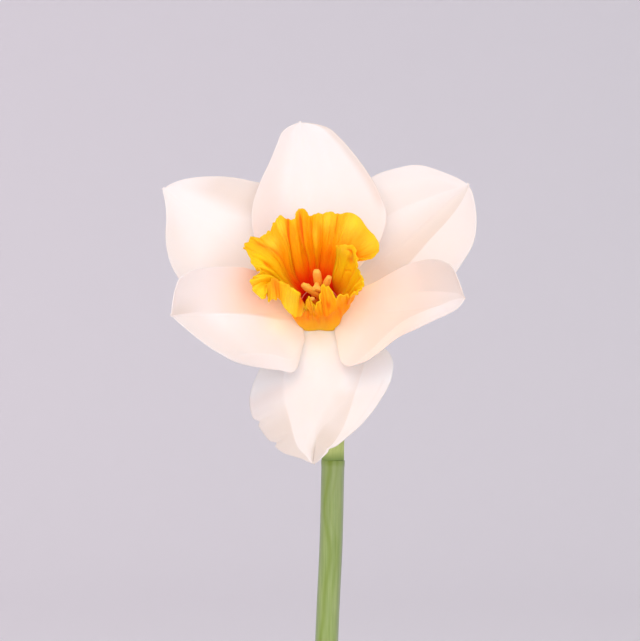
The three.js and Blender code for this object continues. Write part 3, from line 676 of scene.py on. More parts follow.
# Each station is the angle of its foot, the angle and radius half way up, the angle, radius and
# height of its shoulder, and the angle, radius and height of its rim, in degrees and mm.
CUP_STATIONS = [
    # the back wall, from the upper left to the top
    (-45, -43, 10.8, -33, 15.2, 16.0, -24.5, 20.2, 20.8),
    (-34, -31, 9.6, -24, 14.2, 16.0, -19.5, 20.2, 20.6),
    (-25, -19.5, 11.2, -19.5, 15.8, 15.8, -15.5, 22.2, 21.2),
    (-19, -16, 10.2, -14.5, 14.2, 16.2, -10, 22.0, 21.4),
    (-12, -7, 10.8, -9, 15.2, 16.0, -6.8, 20.0, 20.6),
    (-5, -3, 9.4, -2, 12.4, 16.6, -1, 20.4, 20.8),
    (1, 1, 10.4, 5.5, 14.4, 16.0, 5, 20.7, 20.6),
    (9, 9, 9.8, 12, 14.2, 16.0, 11, 21.7, 20.4),
    (17, 17, 10.2, 19, 14.4, 16.0, 17, 21.6, 20.0),
    # the rolled lobe
    (25, 25, 9.8, 26, 13.8, 16.2, 23, 23.3, 19.6),
    (32, 31, 9.4, 34, 13.6, 16.0, 31, 23.7, 19.0),
    (38, 36, 9.0, 42, 13.6, 15.6, 42, 22.3, 18.6),
    (42, 40, 8.8, 49, 13.8, 15.4, 52, 22.1, 18.6),
    (46, 43, 8.6, 54, 13.6, 15.0, 60, 21.4, 18.6),
    (49, 45, 8.4, 56, 12.8, 14.6, 66, 19.6, 18.6),
    # the fold behind the right lobe
    (51, 45, 8.1, 52, 12.0, 14.2, 67.5, 16.6, 18.2),
    (52, 44, 7.7, 46, 11.2, 14.0, 60, 14.6, 17.6),
    (53, 43, 7.2, 40, 10.4, 14.0, 42, 12.8, 17.2),
    (54, 42, 6.5, 35, 9.9, 15.0, 30.5, 11.9, 19.0),
    # the right lobe
    (59, 50, 7.0, 43, 10.6, 15.2, 37.5, 13.1, 19.8),
    (65, 60, 8.6, 54, 11.8, 15.4, 50, 14.9, 19.8),
    (72, 70, 9.8, 65, 12.2, 15.2, 64, 13.5, 19.6),
    (80, 79, 9.0, 76, 11.4, 15.0, 76, 12.8, 19.4),
    (88, 88, 9.9, 86, 12.2, 15.0, 86, 13.5, 19.2),
    (96, 96, 9.2, 94, 11.6, 14.8, 95, 14.4, 19.2),
    (104, 104, 10.6, 102, 12.2, 14.6, 103, 14.5, 19.2),
    (112, 111, 10.0, 110, 11.2, 14.6, 110, 13.7, 19.0),
    (120, 118, 10.6, 118, 11.4, 14.2, 117, 12.4, 18.8),
    # the near wall, low and steep, with a tab that leans in and one narrow spike
    (129, 126, 9.4, 125, 9.6, 13.4, 124, 9.8, 18.2),
    (138, 136, 9.2, 135, 8.8, 12.6, 133, 8.2, 17.2),
    (149, 148, 8.4, 146, 8.3, 11.8, 124, 4.8, 18.0),
    (160, 158, 8.8, 158, 8.1, 11.4, 141, 3.0, 17.6),
    (171, 168, 8.0, 168, 7.5, 11.4, 170, 6.2, 15.4),
    (180, 180, 8.6, 180, 8.0, 11.0, 183, 7.0, 15.0),
    (188, 188, 8.0, 187, 7.4, 12.6, 193, 6.9, 19.5),
    (196, 196, 8.6, 196, 7.8, 11.5, 202, 8.3, 14.2),
    # the curled flap at the lower left
    (205, 205, 8.8, 205, 8.3, 18.0, 204, 10.6, 13.2),
    (214, 215, 9.4, 217, 7.3, 20.2, 211, 11.6, 13.4),
    (223, 226, 9.8, 232, 7.8, 20.8, 221, 11.8, 14.0),
    (232, 237, 9.6, 248, 8.8, 21.0, 231, 12.0, 15.4),
    (241, 247, 9.4, 257, 10.4, 21.0, 237, 12.0, 17.2),
    (248, 254, 9.8, 265, 12.0, 20.4, 239, 13.2, 18.6),
    # the ragged left side
    (255, 260, 9.2, 265, 12.8, 18.6, 238.5, 15.6, 19.2),
    (260, 264, 9.9, 263, 14.0, 17.4, 250.5, 14.2, 19.0),
    (265, 268, 9.1, 263, 13.6, 17.0, 243.5, 16.8, 19.6),
    (269, 272, 9.9, 268, 14.8, 16.6, 257, 18.6, 19.8),
    (273, 276, 9.2, 274, 13.2, 17.4, 266, 18.6, 20.4),
    (277, 280, 10.6, 278, 15.2, 16.6, 275, 16.4, 19.4),
    (281, 284, 9.6, 283, 13.8, 17.6, 281, 19.0, 20.4),
    (286, 288, 10.8, 289, 15.8, 17.2, 288.5, 20.4, 20.6),
    (291, 292, 9.8, 296, 14.8, 17.2, 293.5, 23.4, 20.2),
    (296, 296, 10.2, 303, 15.4, 16.8, 302, 23.2, 20.4),
    (300, 300, 10.0, 309, 15.0, 16.8, 308, 20.8, 20.6),
    (304, 304, 10.4, 315, 15.4, 16.6, 316, 20.4, 20.6),
    (309, 310, 9.8, 321, 14.4, 16.6, 324, 21.6, 20.8),
    (312, 313, 10.0, 324, 14.6, 16.4, 330.5, 22.6, 21.0),
]
print("stations round the cup:", len(CUP_STATIONS))

# %% Cup ribs and grooves
CUP_RIBS = [(61, 0.10, 0.3), (97, 0.06, 2.2), (150, 0.03, 4.0)]
CUP_TEETH = [(44, 0.24, 0.7), (71, 0.26, 2.1), (113, 0.12, 4.0)]
# How ragged the rim is at some angles: the rolled lobe and the flap are smooth.
RAGGED = [
    (-48, 0.6), (-30, 0.5), (-20, 0.2), (-12, 0.5), (16, 0.35), (22, 0.08), (48, 0.08), (54, 0.8),
    (62, 1.3), (122, 1.0), (140, 0.8), (198, 0.6), (208, 0.15), (240, 0.2), (252, 1.4), (270, 2.0),
    (296, 1.6), (312, 0.6),
]
# Each groove is its angle and share of the height at both ends, its width in degrees and its depth.
GROOVES = [
    (-44.5, 0.3, -45.0, 1.0, 1.3, 1.0), (-20.5, 0.3, -23.5, 0.95, 1.6, 1.0),
    (-8.0, 0.35, -10.5, 0.95, 1.2, 0.4), (-1.0, 0.6, -1.0, 0.85, 1.2, 0.3),
    (17.0, 0.75, 16.5, 1.0, 1.0, 0.5), (62.0, 0.92, 69.0, 0.74, 1.2, 1.0),
    (64.0, 0.5, 70.0, 0.56, 1.2, 0.6), (76.0, 0.35, 77.0, 0.95, 1.6, 0.5),
    (92.0, 0.3, 90.0, 0.9, 2.0, 0.4), (100.0, 0.5, 107.0, 0.95, 1.6, 0.6),
    (123.0, 0.6, 122.0, 1.0, 1.2, 0.9), (134.0, 0.1, 137.0, 0.6, 2.0, 0.5),
    (165.0, 0.4, 163.0, 0.95, 2.4, 0.7), (178.0, 0.2, 180.0, 0.85, 1.8, 0.4),
    (197.0, 0.3, 200.0, 0.9, 2.0, 0.7), (217.0, 0.2, 214.0, 0.6, 2.0, 0.4),
    (303.0, 0.4, 296.0, 0.9, 1.4, 0.5),
]
GROOVE_DEPTH = 0.55
TOOTH_DEPTH = 0.9


def cup_angle(share):
    """The angle of the foot at a share of the way round."""
    feet = [row[0] for row in CUP_STATIONS] + [CUP_STATIONS[0][0] + 360.0]
    return np.interp(share, np.arange(len(feet)) / len(CUP_STATIONS), feet)


def near_angle(degrees, angle, spread):
    """A bump round one angle: a bell of the turn to it."""
    return bell(turn_between(degrees, angle), 0, spread)


def groove_depth(degrees, s):
    """From 0 to 1 in the grooves: a bell across each of them, with soft ends."""
    depth = np.zeros((len(s), len(degrees)))
    for first, low, last, high, spread, strength in GROOVES:
        share = (s[:, None] - low) / (high - low)
        middle = between(first, last, np.clip(share, 0, 1))
        ends = smooth(share, -0.15, 0.15) * (1 - smooth(share, 0.9, 1.15))
        depth = np.maximum(depth, strength * near_angle(degrees[None, :], middle, spread) * ends)
    return depth


# %% Cup surface
def cup_foot(degrees):
    """The foot's radius and height: it widens and comes forward round the lower side."""
    low = near_angle(degrees, 180, 62)
    corners = bell(np.abs(turn_between(degrees, 180)), 38, 22)
    return 6.0 + 1.1 * low + 2.1 * corners, 2.0 - 2.7 * low


def ripples(waves, turn, drift, drift_count):
    """Waves round the cup, each with its count, size and start, shifted by a slower wave."""
    shift = drift * np.sin(drift_count * turn)
    return sum(size * np.sin(count * turn + start + shift) for count, size, start in waves)


def cup_surface(share, s):
    """The cup's wall in the bloom's own directions: curves round through the stations at four levels,
    then curves up through the levels, then grooves, ribs and teeth square to the wall and along it."""
    rows = np.array(CUP_STATIONS, dtype=float)
    foot, middle, middle_radius, shoulder, shoulder_radius, shoulder_height = rows[:, :6].T
    rim, rim_radius, rim_height = rows[:, 6:].T
    levels = [
        (foot, *cup_foot(foot)), (middle, middle_radius, CUP_MIDDLE_HEIGHT),
        (shoulder, shoulder_radius, shoulder_height), (rim, rim_radius, rim_height),
    ]
    knots = [in_bloom(bloom_direction(angle), radius, height) for angle, radius, height in levels]
    wall = curve_through([curve_through(level, share, wrap=True) for level in knots], s)
    up = unit(np.gradient(wall, axis=0))
    along = unit(np.roll(wall, -1, axis=1) - np.roll(wall, 1, axis=1))
    square = unit(np.cross(along, up))
    turn = 2 * np.pi * share[None, :]
    height = s[:, None]
    degrees = cup_angle(share)
    ragged = np.array(RAGGED, dtype=float)
    ribs = ripples(CUP_RIBS, turn, 0.5, 7)
    teeth = ripples(CUP_TEETH, turn, 1.0, 5) * np.interp(degrees, ragged[:, 0], ragged[:, 1])[None, :]
    calm = 1 - 0.7 * near_angle(degrees, 14, 16)[None, :] * (1 - smooth(height, 0.55, 0.75))
    raised = ribs * calm * smooth(height, 0.1, 0.5) + TOOTH_DEPTH * teeth * height ** 6
    raised = raised - GROOVE_DEPTH * groove_depth(degrees, s)
    return wall + (square * raised[..., None] + up * (teeth * height ** 8)[..., None]) * MM


# %% [markdown]
# The cup's finish runs from a deep red throat through orange to a yellow rim, with fine ribs along the
# wall. The red deep in the throat is partly painted shade, and the lobes in front and the outside are
# yellower all the way down, partly painted light. The grooves, folds and the wall under the lobes get
# painted shade, and some lobes painted highlights. Orange tissue glows where the light goes through it, so
# it too is partly subsurface.

# %% Cup finish
def cup_finish():
    """Red in the throat, orange up the wall, yellow at the rim and lobes, partly painted shade and light,
    with painted shade in the grooves, painted highlights and spots.
    """
    tissue = Finish("cup_tissue", 0.55, 0.12, (0.6, 0.0014, (1.0, 0.75, 0.1)))
    height = tissue.value("height")
    # The throat's red is partly painted shade. The yellower lobes and outside are partly painted light.
    throat = tissue.ramp(
        height, (0.0, 230, 12, 0), (0.14, 248, 40, 0), (0.26, 255, 100, 0), (0.4, 255, 150, 0),
        (0.56, 255, 166, 0), (0.72, 255, 162, 0), (0.88, 255, 162, 2), (1.0, 255, 180, 10))
    lobes = tissue.ramp(
        height, (0.0, 255, 196, 30), (0.3, 255, 198, 18), (0.6, 255, 202, 18), (0.85, 255, 202, 22),
        (1.0, 255, 200, 28))
    outside = tissue.ramp(
        height, (0.0, 255, 186, 24), (0.16, 254, 170, 8), (0.32, 250, 150, 0), (0.6, 250, 152, 0),
        (0.85, 255, 168, 6), (1.0, 255, 184, 16))
    inside = tissue.mix(tissue.value("lobes"), throat, lobes)
    base = tissue.mix(tissue.value("side"), inside, outside)
    # Partly painted highlights: bright yellow patches on the lobes.
    yellow_and_highlights = tissue.mix(tissue.value("yellow"), base, (252, 205, 52))
    # Painted shade: deeper orange in the grooves, folds and under the lobes.
    with_painted_shade = tissue.mix(tissue.value("deep"), yellow_and_highlights, (250, 92, 0))
    ribs = tissue.noise(tissue.flat_place(0.7, 0.25), 1.0, 4.0, 0.6)
    paler = tissue.mix(0.5, with_painted_shade, (255, 214, 60))
    ribbed = tissue.mix(tissue.mask(ribs, (0.4, 0.0), (0.8, 0.24)), with_painted_shade, paler)
    cloud = tissue.noise(tissue.placed(), 260.0, 4.0)
    spots = tissue.mask(cloud, (0.3, 0.14), (0.6, 0.0))
    tissue.paint(tissue.mix(spots, ribbed, (246, 110, 0)))
    tissue.bump(ribs, 0.16 * MM, 0.5)
    return tissue


cup_tissue = cup_finish()

# %% Cup patches
# Bright yellow patches, partly the rim's own yellow and partly painted highlights on the lobes: angle,
# share of the height, width in degrees, height and strength.
CUP_YELLOW_AND_HIGHLIGHTS = [
    (301, 0.84, 5.0, 0.14, 0.9), (311, 0.92, 2.5, 0.12, 0.9), (-24, 0.96, 3.0, 0.10, 0.7),
    (-36, 0.97, 3.0, 0.05, 0.5), (6, 0.92, 7.0, 0.12, 0.8), (-5.5, 0.75, 2.6, 0.10, 0.4),
    (30, 0.93, 7.0, 0.13, 0.9), (43, 0.95, 5.0, 0.14, 0.6), (59, 0.92, 3.0, 0.10, 0.7),
    (92, 0.97, 8.0, 0.06, 0.3), (110, 0.9, 5.0, 0.10, 0.3), (150, 0.9, 6.0, 0.10, 0.2),
    (224, 0.9, 8.0, 0.16, 0.9), (270, 0.93, 5.0, 0.10, 0.8),
]
# Deep orange patches of painted shade, in folds and under the lobes, given in the same way.
CUP_PAINTED_SHADE = [
    (14, 0.5, 13.0, 0.13, 0.45), (45, 0.72, 6.0, 0.05, 0.3), (60, 0.2, 10.0, 0.12, 0.3),
    (66, 0.74, 3.0, 0.07, 0.7), (122, 0.9, 2.0, 0.12, 0.6), (154, 0.76, 5.0, 0.06, 0.8),
    (160, 0.4, 8.0, 0.2, 0.3), (207.5, 0.66, 5.0, 0.26, 1.0), (232, 0.68, 6.0, 0.1, 0.4),
    (245, 0.82, 8.5, 0.22, 0.68), (256, 0.84, 5.0, 0.12, 0.55), (262, 0.76, 5.0, 0.07, 0.8),
    (285, 0.68, 3.0, 0.06, 0.8),
]


def patches(places, degrees, s):
    """Soft patches: the strongest of bells across and up the wall."""
    strongest = np.zeros((len(s), len(degrees)))
    for angle, height, wide, tall, strength in places:
        across = near_angle(degrees[None, :], angle, wide)
        strongest = np.maximum(strongest, strength * across * bell(s[:, None], height, tall))
    return strongest


# %% Make the cup
CUP_COLUMNS = 840
CUP_ROWS = 54
CUP_THICK = 0.55
CUP_THIN = 0.34
WALL_LENGTH = 22.0
# The inner wall is red and orange on this side of the cup, partly painted shade deep in the throat, and its
# lobes are yellow away from it, partly painted light.
THROAT_SIDE = -5.0

cup_share = np.arange(CUP_COLUMNS) / CUP_COLUMNS
cup_s = np.linspace(0, 1, CUP_ROWS)
cup_degrees = cup_angle(cup_share)
cup_rows = cup_s[:, None]
from_throat = np.abs(turn_between(cup_degrees, THROAT_SIDE))[None, :]
cup_values = {
    "height": cup_rows,
    "along": cup_rows * WALL_LENGTH,
    "across": cup_degrees[None, :],
    # Partly painted light: the lobes away from the throat side are yellow down to their feet.
    "lobes": smooth(from_throat, 52, 72) * smooth(cup_rows, 0.0, 0.17),
    # Partly painted highlights on the lobes.
    "yellow": patches(CUP_YELLOW_AND_HIGHLIGHTS, cup_degrees, cup_s),
    # Painted shade in the grooves, folds and under the lobes.
    "deep": np.maximum(patches(CUP_PAINTED_SHADE, cup_degrees, cup_s), 0.8 * groove_depth(cup_degrees, cup_s)),
}
cup_thickness = between(CUP_THICK, CUP_THIN, cup_rows) * MM
cup = sheet("cup", cup_surface(cup_share, cup_s), cup_thickness, cup_values, wrap=True)
dress(cup, cup_tissue, "corona_orange", "corona")

# %% [markdown]
# ## Stamens and style
# Six stamens stand round the style in the throat. Each is a thread that ends in a long anther of two
# swollen halves with a groove between them, covered in pollen grains. A ring of points is carried
# along the stamen's path, and its shape changes from a round thread to the grooved anther.

# %% Paths and rings
def ring_degrees(count):
    """Angles once round, in degrees, as one row."""
    return np.linspace(0, 360, count, endpoint=False)[None, :]


def rings_along(path, sideways, wide, deep, sides):
    """Rings round a path: its direction from neighbouring points, then two axes square to it."""
    along = unit(np.gradient(path, axis=0))
    front = unit(np.cross(along, sideways))
    side = np.cross(front, along)
    angle = np.radians(ring_degrees(sides))[..., None]
    wide = np.broadcast_to(wide, (len(path), sides))[..., None]
    deep = np.broadcast_to(deep, (len(path), sides))[..., None]
    return path[:, None] + side[:, None] * np.cos(angle) * wide + front[:, None] * np.sin(angle) * deep


# %% Stamens
STAMEN_FOOT = -8.9
STAMEN_SIDES = 32
THREAD = 0.5
ANTHER_START = 0.6
# Each stamen is its foot's angle, then the anther's lower and upper end (across, up and out from the
# bloom's middle, in mm), then the half width of the anther in mm.
STAMENS = [
    (-5.0, (0.3, 2.0, 10.2), (0.0, 3.9, 15.8), 1.5),
    (55.0, (1.6, 0.3, 9.8), (3.9, 2.2, 15.2), 1.15),
    (115.0, (2.5, -2.6, 9.0), (3.0, -1.6, 14.2), 1.6),
    (175.0, (-0.9, -2.6, 7.5), (-1.3, -3.4, 12.0), 1.0),
    (235.0, (0.3, -1.5, 10.0), (-4.1, 0.2, 14.2), 1.3),
    (295.0, (-1.6, 0.9, 7.5), (-2.8, 0.8, 12.4), 1.0),
]


def anther_finish():
    """Salmon anthers with a dusting of paler pollen grains, on threads that redden towards the foot."""
    pollen = Finish("anther_pollen", 0.75, 0.2, (0.5, 0.002, (1.0, 0.45, 0.2)))
    cells = pollen.node("TexVoronoi", {"Vector": pollen.placed(), "Scale": 5200.0})
    grains = cells.outputs["Distance"]
    base = pollen.ramp(
        pollen.value("height"), (0.0, 205, 50, 4), (0.55, 255, 132, 12), (0.8, 255, 170, 40),
        (1.0, 255, 184, 72))
    pollen.paint(pollen.mix(pollen.mask(grains, (0.1, 0.5), (0.55, 0.0)), base, (255, 192, 120)))
    pollen.bump(grains, 0.08 * MM, -0.8)
    return pollen


# %% Make the stamens
def bloom_place(across, up, out):
    """A point given across, up and out from the bloom's middle, in mm."""
    return BLOOM_MIDDLE + (ACROSS * across + UP * up + OUT * out) * MM


def make_stamen(number, finish):
    """One stamen: a thread that swells into the anther, which has a groove on both faces."""
    degrees, low, high, half = STAMENS[number]
    away = bloom_direction(degrees)
    low, high = bloom_place(*low), bloom_place(*high)
    foot, throat = in_bloom(away, 2.7, STAMEN_FOOT), in_bloom(away, 2.4, 0.0)
    knots = [foot, throat, between(throat, low, 0.6), low, between(low, high, 0.5), high]
    s = np.linspace(0, 1, 110)
    path = curve_through(knots, s)
    x = np.clip((s - ANTHER_START) / (1 - ANTHER_START), 0, 1)[:, None]
    swell = np.where(x > 0, np.sin(np.pi * np.clip(0.05 + 0.9 * x, 0, 1)) ** 0.45, 0)
    angle = ring_degrees(STAMEN_SIDES)
    grooves = near_angle(angle, 90, 22) + 0.7 * near_angle(angle, 270, 22)
    form = (1 - 0.3 * swell * grooves) * (1 + 0.06 * swell * np.sin(9 * x + 2.0 * number)) * MM
    wide = between(THREAD, half, swell) * form
    deep = between(THREAD, 0.7 * half, swell) * form
    rings = rings_along(path, UP, deep, wide, STAMEN_SIDES)
    piece = round_solid(f"pollen_arm_{number + 1}", rings, {"height": np.clip(s * 1.05, 0, 1)[:, None]})
    return dress(piece, finish, "anther", f"stamen_{number + 1}")


anther_pollen = anther_finish()
for number in range(len(STAMENS)):
    make_stamen(number, anther_pollen)

# %% Style
# The column's outline: how far out from the bloom's middle, and its radius there, in mm.
STYLE_OUTLINE = [
    (STAMEN_FOOT, 0.8), (0.0, 0.7), (6.0, 0.7), (10.0, 0.75), (11.2, 1.1), (12.2, 1.5), (12.9, 1.25),
    (13.3, 0.45),
]


def make_style(finish):
    """A slender column whose end swells into three rounded lobes: a cosine of three times the angle."""
    s = np.linspace(0, 1, 70)
    profile = curve_through(STYLE_OUTLINE, s)
    out, radius = profile[:, :1], profile[:, 1:2]
    degrees = ring_degrees(48)
    lobed = 1 + 0.28 * smooth(radius, 0.8, 1.3) * np.cos(np.radians(3 * degrees))
    rings = in_bloom(bloom_direction(degrees), radius * lobed, out)
    return dress(round_solid("seed_column", rings, {"height": s[:, None]}), finish, "anther", "style")


make_style(anther_pollen)

# %% [markdown]
# ## Tube and flower stalk
# Behind the petals their feet join in a pale tube, and behind that the green ovary swells on a short
# stalk that bends over from the stem's top. Both are turned or carried shapes. The green has fine
# streaks along it, and the tube fades from green to cream where the petals start.

# %% Green finishes
def green_finish(name, dull, fresh, worn, rough, streak):
    """Plant skin: long streaks between two greens, and patches where its wax is worn."""
    skin = Finish(name, rough, 0.35, (0.12, 0.0012, (0.5, 1.0, 0.25)))
    streaks = skin.noise(skin.placed((1.0, 1.0, streak)), 1400.0, 4.0, 0.6)
    wear = skin.noise(skin.placed((1.0, 1.0, 0.35)), 130.0, 3.0)
    base = skin.ramp(streaks, (0.3, *dull), (0.7, *fresh))
    skin.paint(skin.mix(skin.mask(wear, (0.42, 0.0), (0.8, 0.45)), base, worn))
    skin.bump(streaks, 0.06 * MM, 0.5)
    return skin


# %% Tube
TUBE_BACK = -19.2
TUBE_LENGTH = 21.0
# Half of the tube's wall, out and back in: how far from the bloom's axis, and how far forward, in mm.
TUBE_OUTLINE = [
    (0.0, TUBE_BACK), (3.0, TUBE_BACK), (3.8, -19.0), (4.1, -15.2), (4.9, -10.2), (5.9, -5.2),
    (6.4, -2.6), (6.5, -1.0), (6.5, 1.6), (6.3, 1.8), (5.5, 1.8), (5.35, 1.6), (4.9, -4.2),
    (4.2, -9.0), (4.0, -9.2), (0.0, -9.2),
]
# Where two petals' feet leave a gap that the tube's edge closes, in degrees round the bloom.
PETAL_GAPS = (76, -79)
LEAST_RADIUS = 0.02


def tube_finish():
    """Green at the back and cream in front, with a warm front edge and a red inside."""
    skin = green_finish("tube_skin", (176, 190, 104), (206, 212, 140), (226, 224, 176), 0.5, 0.2)
    fade = skin.ramp(skin.value("front"), (0.0, 200, 215, 170), (0.55, 255, 252, 225), (1.0, 255, 250, 214))
    faded = skin.mix(1.0, skin.coat, fade, "MULTIPLY")
    joined = skin.mix(skin.value("flare"), faded, (255, 240, 214))
    skin.paint(skin.mix(skin.value("inside"), joined, (240, 34, 0)))
    return skin


def make_tube():
    """The hollow funnel behind the petals, turned from its outline, with a widened front edge."""
    s = np.linspace(0, 1, 90)
    profile = curve_through(TUBE_OUTLINE, s)
    radius, forward = np.maximum(profile[:, :1], LEAST_RADIUS), profile[:, 1:2]
    degrees = ring_degrees(72)
    ribs = 1 + 0.02 * np.cos(np.radians(6 * degrees)) * smooth(-forward, 2.0, 9.0)
    inside = smooth(s, 0.62, 0.66)[:, None]
    gaps = sum(near_angle(degrees, gap, 16) for gap in PETAL_GAPS)
    widening = np.maximum(cup_foot(degrees)[0] - 6.6, 0.0) + 1.1 * gaps
    edge = widening * bell(forward, -0.9, 0.9) * (1 - inside)
    rings = in_bloom(bloom_direction(degrees), radius * ribs + edge, forward)
    values = {
        "front": np.clip((forward - TUBE_BACK) / TUBE_LENGTH, 0, 1),
        "inside": inside,
        "flare": smooth(forward, -3.4, -1.6),
    }
    piece = round_solid("petal_tube", rings, values)
    return dress(piece, tube_finish(), "pale_tube", "perianth_tube")


make_tube()

# %% Flower stalk
STEM_TOP = BLOOM_MIDDLE / MM + np.array([4.05, 40.0, -48.2])
TOUCH = 0.05
OVARY_LENGTH = 13.0
OVARY_FRONT = -19.5
STALK_RADIUS = 2.3
OVARY_RADIUS = 4.1
TO_THE_RIGHT = np.array([1.0, 0.0, 0.0])
UPRIGHT = np.array([0.0, 0.0, 1.0])


def bezier(knots, s):
    """A cubic curve through its first and last knot, drawn towards the two between."""
    a, b, c, d = (np.asarray(k, dtype=float) for k in knots)
    s = s[:, None]
    return (1 - s) ** 3 * a + 3 * s * (1 - s) ** 2 * b + 3 * s ** 2 * (1 - s) * c + s ** 3 * d


def make_flower_stalk():
    """The bent stalk and its ovary, which swells as a sine and has three soft corners."""
    foot = STEM_TOP + TOUCH * UPRIGHT
    front = BLOOM_MIDDLE / MM + OUT * OVARY_FRONT
    ovary_back = front - OUT * OVARY_LENGTH
    knots = [foot, foot + 17 * np.array([0.03, 0.04, 1.0]), ovary_back - OUT * 13, ovary_back]
    along_ovary = np.linspace(0, 1, 40)[1:, None]
    bend = bezier(knots, np.linspace(0, 1, 60))
    path = np.concatenate([bend, between(ovary_back, front, along_ovary)])
    x = np.concatenate([np.zeros((len(bend), 1)), along_ovary])
    sides = 48
    swell = np.where(x > 0, np.sin(np.pi * x ** 0.85) ** 0.8, 0)
    corners = 1 + 0.045 * swell * np.cos(np.radians(3 * ring_degrees(sides)))
    radius = (between(STALK_RADIUS, OVARY_RADIUS, swell) + 0.9 * x) * corners * MM
    rings = rings_along(path * MM, TO_THE_RIGHT, radius, radius, sides)
    skin = green_finish("stalk_skin", (112, 140, 62), (150, 172, 86), (176, 190, 120), 0.45, 0.2)
    return dress(round_solid("bloom_stalk", rings, {}), skin, "stem_green", "flower_stalk")


make_flower_stalk()

# %% [markdown]
# ## Stem
# The stem is a slightly flattened green rod with shallow ribs. A small swollen ring at its top marks where
# the sheath grew. Its skin has a grey bloom of wax, painted greyer at the two sides as a sheen seen edge
# on, and olive streaks where the wax is rubbed off. It is one ring of points carried up a gentle curve.

# %% Stem
STEM_FOOT = np.array([0.0, 0.0, 99.3])
STEM_WIDTH = 7.2
STEM_DEPTH = 6.6
STEM_SIDES = 64


def stem_finish():
    """Green skin, greyer at the sides with a painted sheen of its wax, and olive where the wax is rubbed
    off.
    """
    skin = green_finish("stem_skin", (134, 156, 84), (160, 178, 110), (176, 190, 140), 0.42, 0.04)
    # Painted sheen: the wax bloom greyer at the stem's two sides.
    waxy = skin.mix(skin.value("wax"), skin.coat, (158, 166, 146))
    skin.paint(skin.mix(skin.value("rubbed"), waxy, (128, 150, 58)))
    return skin


def make_stem():
    """A flattened rod with ribs of a cosine of nine times the angle and a ring as a bell near its top."""
    weight = np.concatenate([np.linspace(0, 0.95, 150), np.linspace(0.95, 1.0, 60)[1:]])[:, None]
    bend = (STEM_FOOT + STEM_TOP) / 2 - 1.1 * TO_THE_RIGHT
    path = (1 - weight) ** 2 * STEM_FOOT + 2 * weight * (1 - weight) * bend + weight ** 2 * STEM_TOP
    path = path + 0.35 * TO_THE_RIGHT * bell(weight, 0.9, 0.07)
    degrees = ring_degrees(STEM_SIDES)
    ring = 1 + 0.025 * bell(weight, 0.997, 0.005)
    ribs = 1 + 0.008 * np.cos(np.radians(9 * degrees)) + 0.012 * np.cos(np.radians(2 * degrees))
    form = ring * ribs * MM / 2
    rings = rings_along(path * MM, TO_THE_RIGHT, STEM_WIDTH * form, STEM_DEPTH * form, STEM_SIDES)
    drift = 14 * np.sin(38 * weight) + 8 * np.sin(71 * weight + 1.0)
    streaks = 0.7 * bell(degrees, 250 + drift, 12) + 0.35 * bell(degrees, 285 + drift, 8)
    values = {
        # Painted sheen at the two sides, partly the real grey wax bloom.
        "wax": 0.8 * np.abs(np.cos(np.radians(degrees))) ** 6,
        "rubbed": streaks + 0.5 * smooth(weight, 0.991, 0.998),
    }
    return dress(round_solid("green_stem", rings, values), stem_finish(), "stem_green", "stem")


make_stem()

# %% [markdown]
# ## Sheath
# A papery sheath wrapped the bud and now hangs behind the bloom: green at its foot, dry and brown
# above, with veins and a torn edge. It is a thin sheet wrapped round the stalk, opening as it rises.

# %% Sheath
SHEATH_LENGTH = 44.0
SHEATH_FOOT_RADIUS = 3.35
SHEATH_RADIUS = 7.2
SHEATH_HALF_WIDTH = 15.0
SHEATH_THICK = 0.4


def sheath_surface(s, t):
    """Wraps by an angle that shrinks from foot to tip, at a radius that widens and then draws in."""
    backward = unit(np.array([0.1, 1.0, 0.0]))
    right = unit(np.array([1.0, -0.1, 0.0]))
    wrap = np.radians(between(179, 42, smooth(s, 0.06, 0.55)) * (1 - 0.35 * smooth(s, 0.6, 1)))
    crinkle = 0.22 * np.sin(9 * t + 5 * s) * smooth(s, 0.15, 0.6) + 0.12 * np.sin(23 * t - 7 * s)
    radius = between(SHEATH_FOOT_RADIUS, SHEATH_RADIUS, smooth(s, 0.1, 0.5)) - 2.4 * smooth(s, 0.6, 1)
    radius = radius + crinkle * smooth(s, 0.1, 0.3)
    angle = wrap * t + math.radians(52) * (1 - smooth(s, 0.03, 0.45))
    back = 7 * s * s + radius * np.cos(angle)
    sideways = radius * np.sin(angle)
    torn = 1 - 0.05 * smooth(np.abs(t), 0.3, 1.0) * (1 + np.sin(17 * t) * 0.6)
    up = TOUCH + SHEATH_LENGTH * s * torn
    reach = backward * back[..., None] + right * sideways[..., None] + UPRIGHT * up[..., None]
    return (STEM_TOP + reach) * MM


# %% Make the sheath
def sheath_finish():
    """Dry brown paper with darker veins along it, still green at the foot."""
    paper = Finish("dry_sheath", 0.7, soft=(0.2, 0.001, (1.0, 0.7, 0.4)))
    veins = paper.noise(paper.flat_place(3.2, 0.12), 1.0, 4.0, 0.65)
    dry = paper.ramp(veins, (0.3, 150, 112, 66), (0.55, 196, 160, 108), (0.8, 222, 196, 150))
    fresh = paper.ramp(veins, (0.3, 172, 192, 98), (0.7, 202, 213, 138))
    darker = paper.mix(paper.value("foot"), fresh, (104, 136, 54))
    paper.paint(paper.mix(paper.value("dry"), darker, dry))
    paper.bump(veins, 0.2 * MM, 0.7)
    return paper


sheath_s = np.linspace(0, 1, 90)[:, None]
sheath_t = np.linspace(-1, 1, 71)[None, :]
sheath_values = {
    "along": sheath_s * SHEATH_LENGTH,
    "across": sheath_t * SHEATH_HALF_WIDTH,
    "dry": smooth(sheath_s + 0.05 * np.sin(6 * sheath_t), 0.28, 0.5),
    "foot": 0.75 * (1 - smooth(sheath_s, 0.0, 0.08)),
}
sheath = sheet("papery_wrap", sheath_surface(sheath_s, sheath_t), SHEATH_THICK * MM, sheath_values)
dress(sheath, sheath_finish(), "papery_sheath", "spathe")

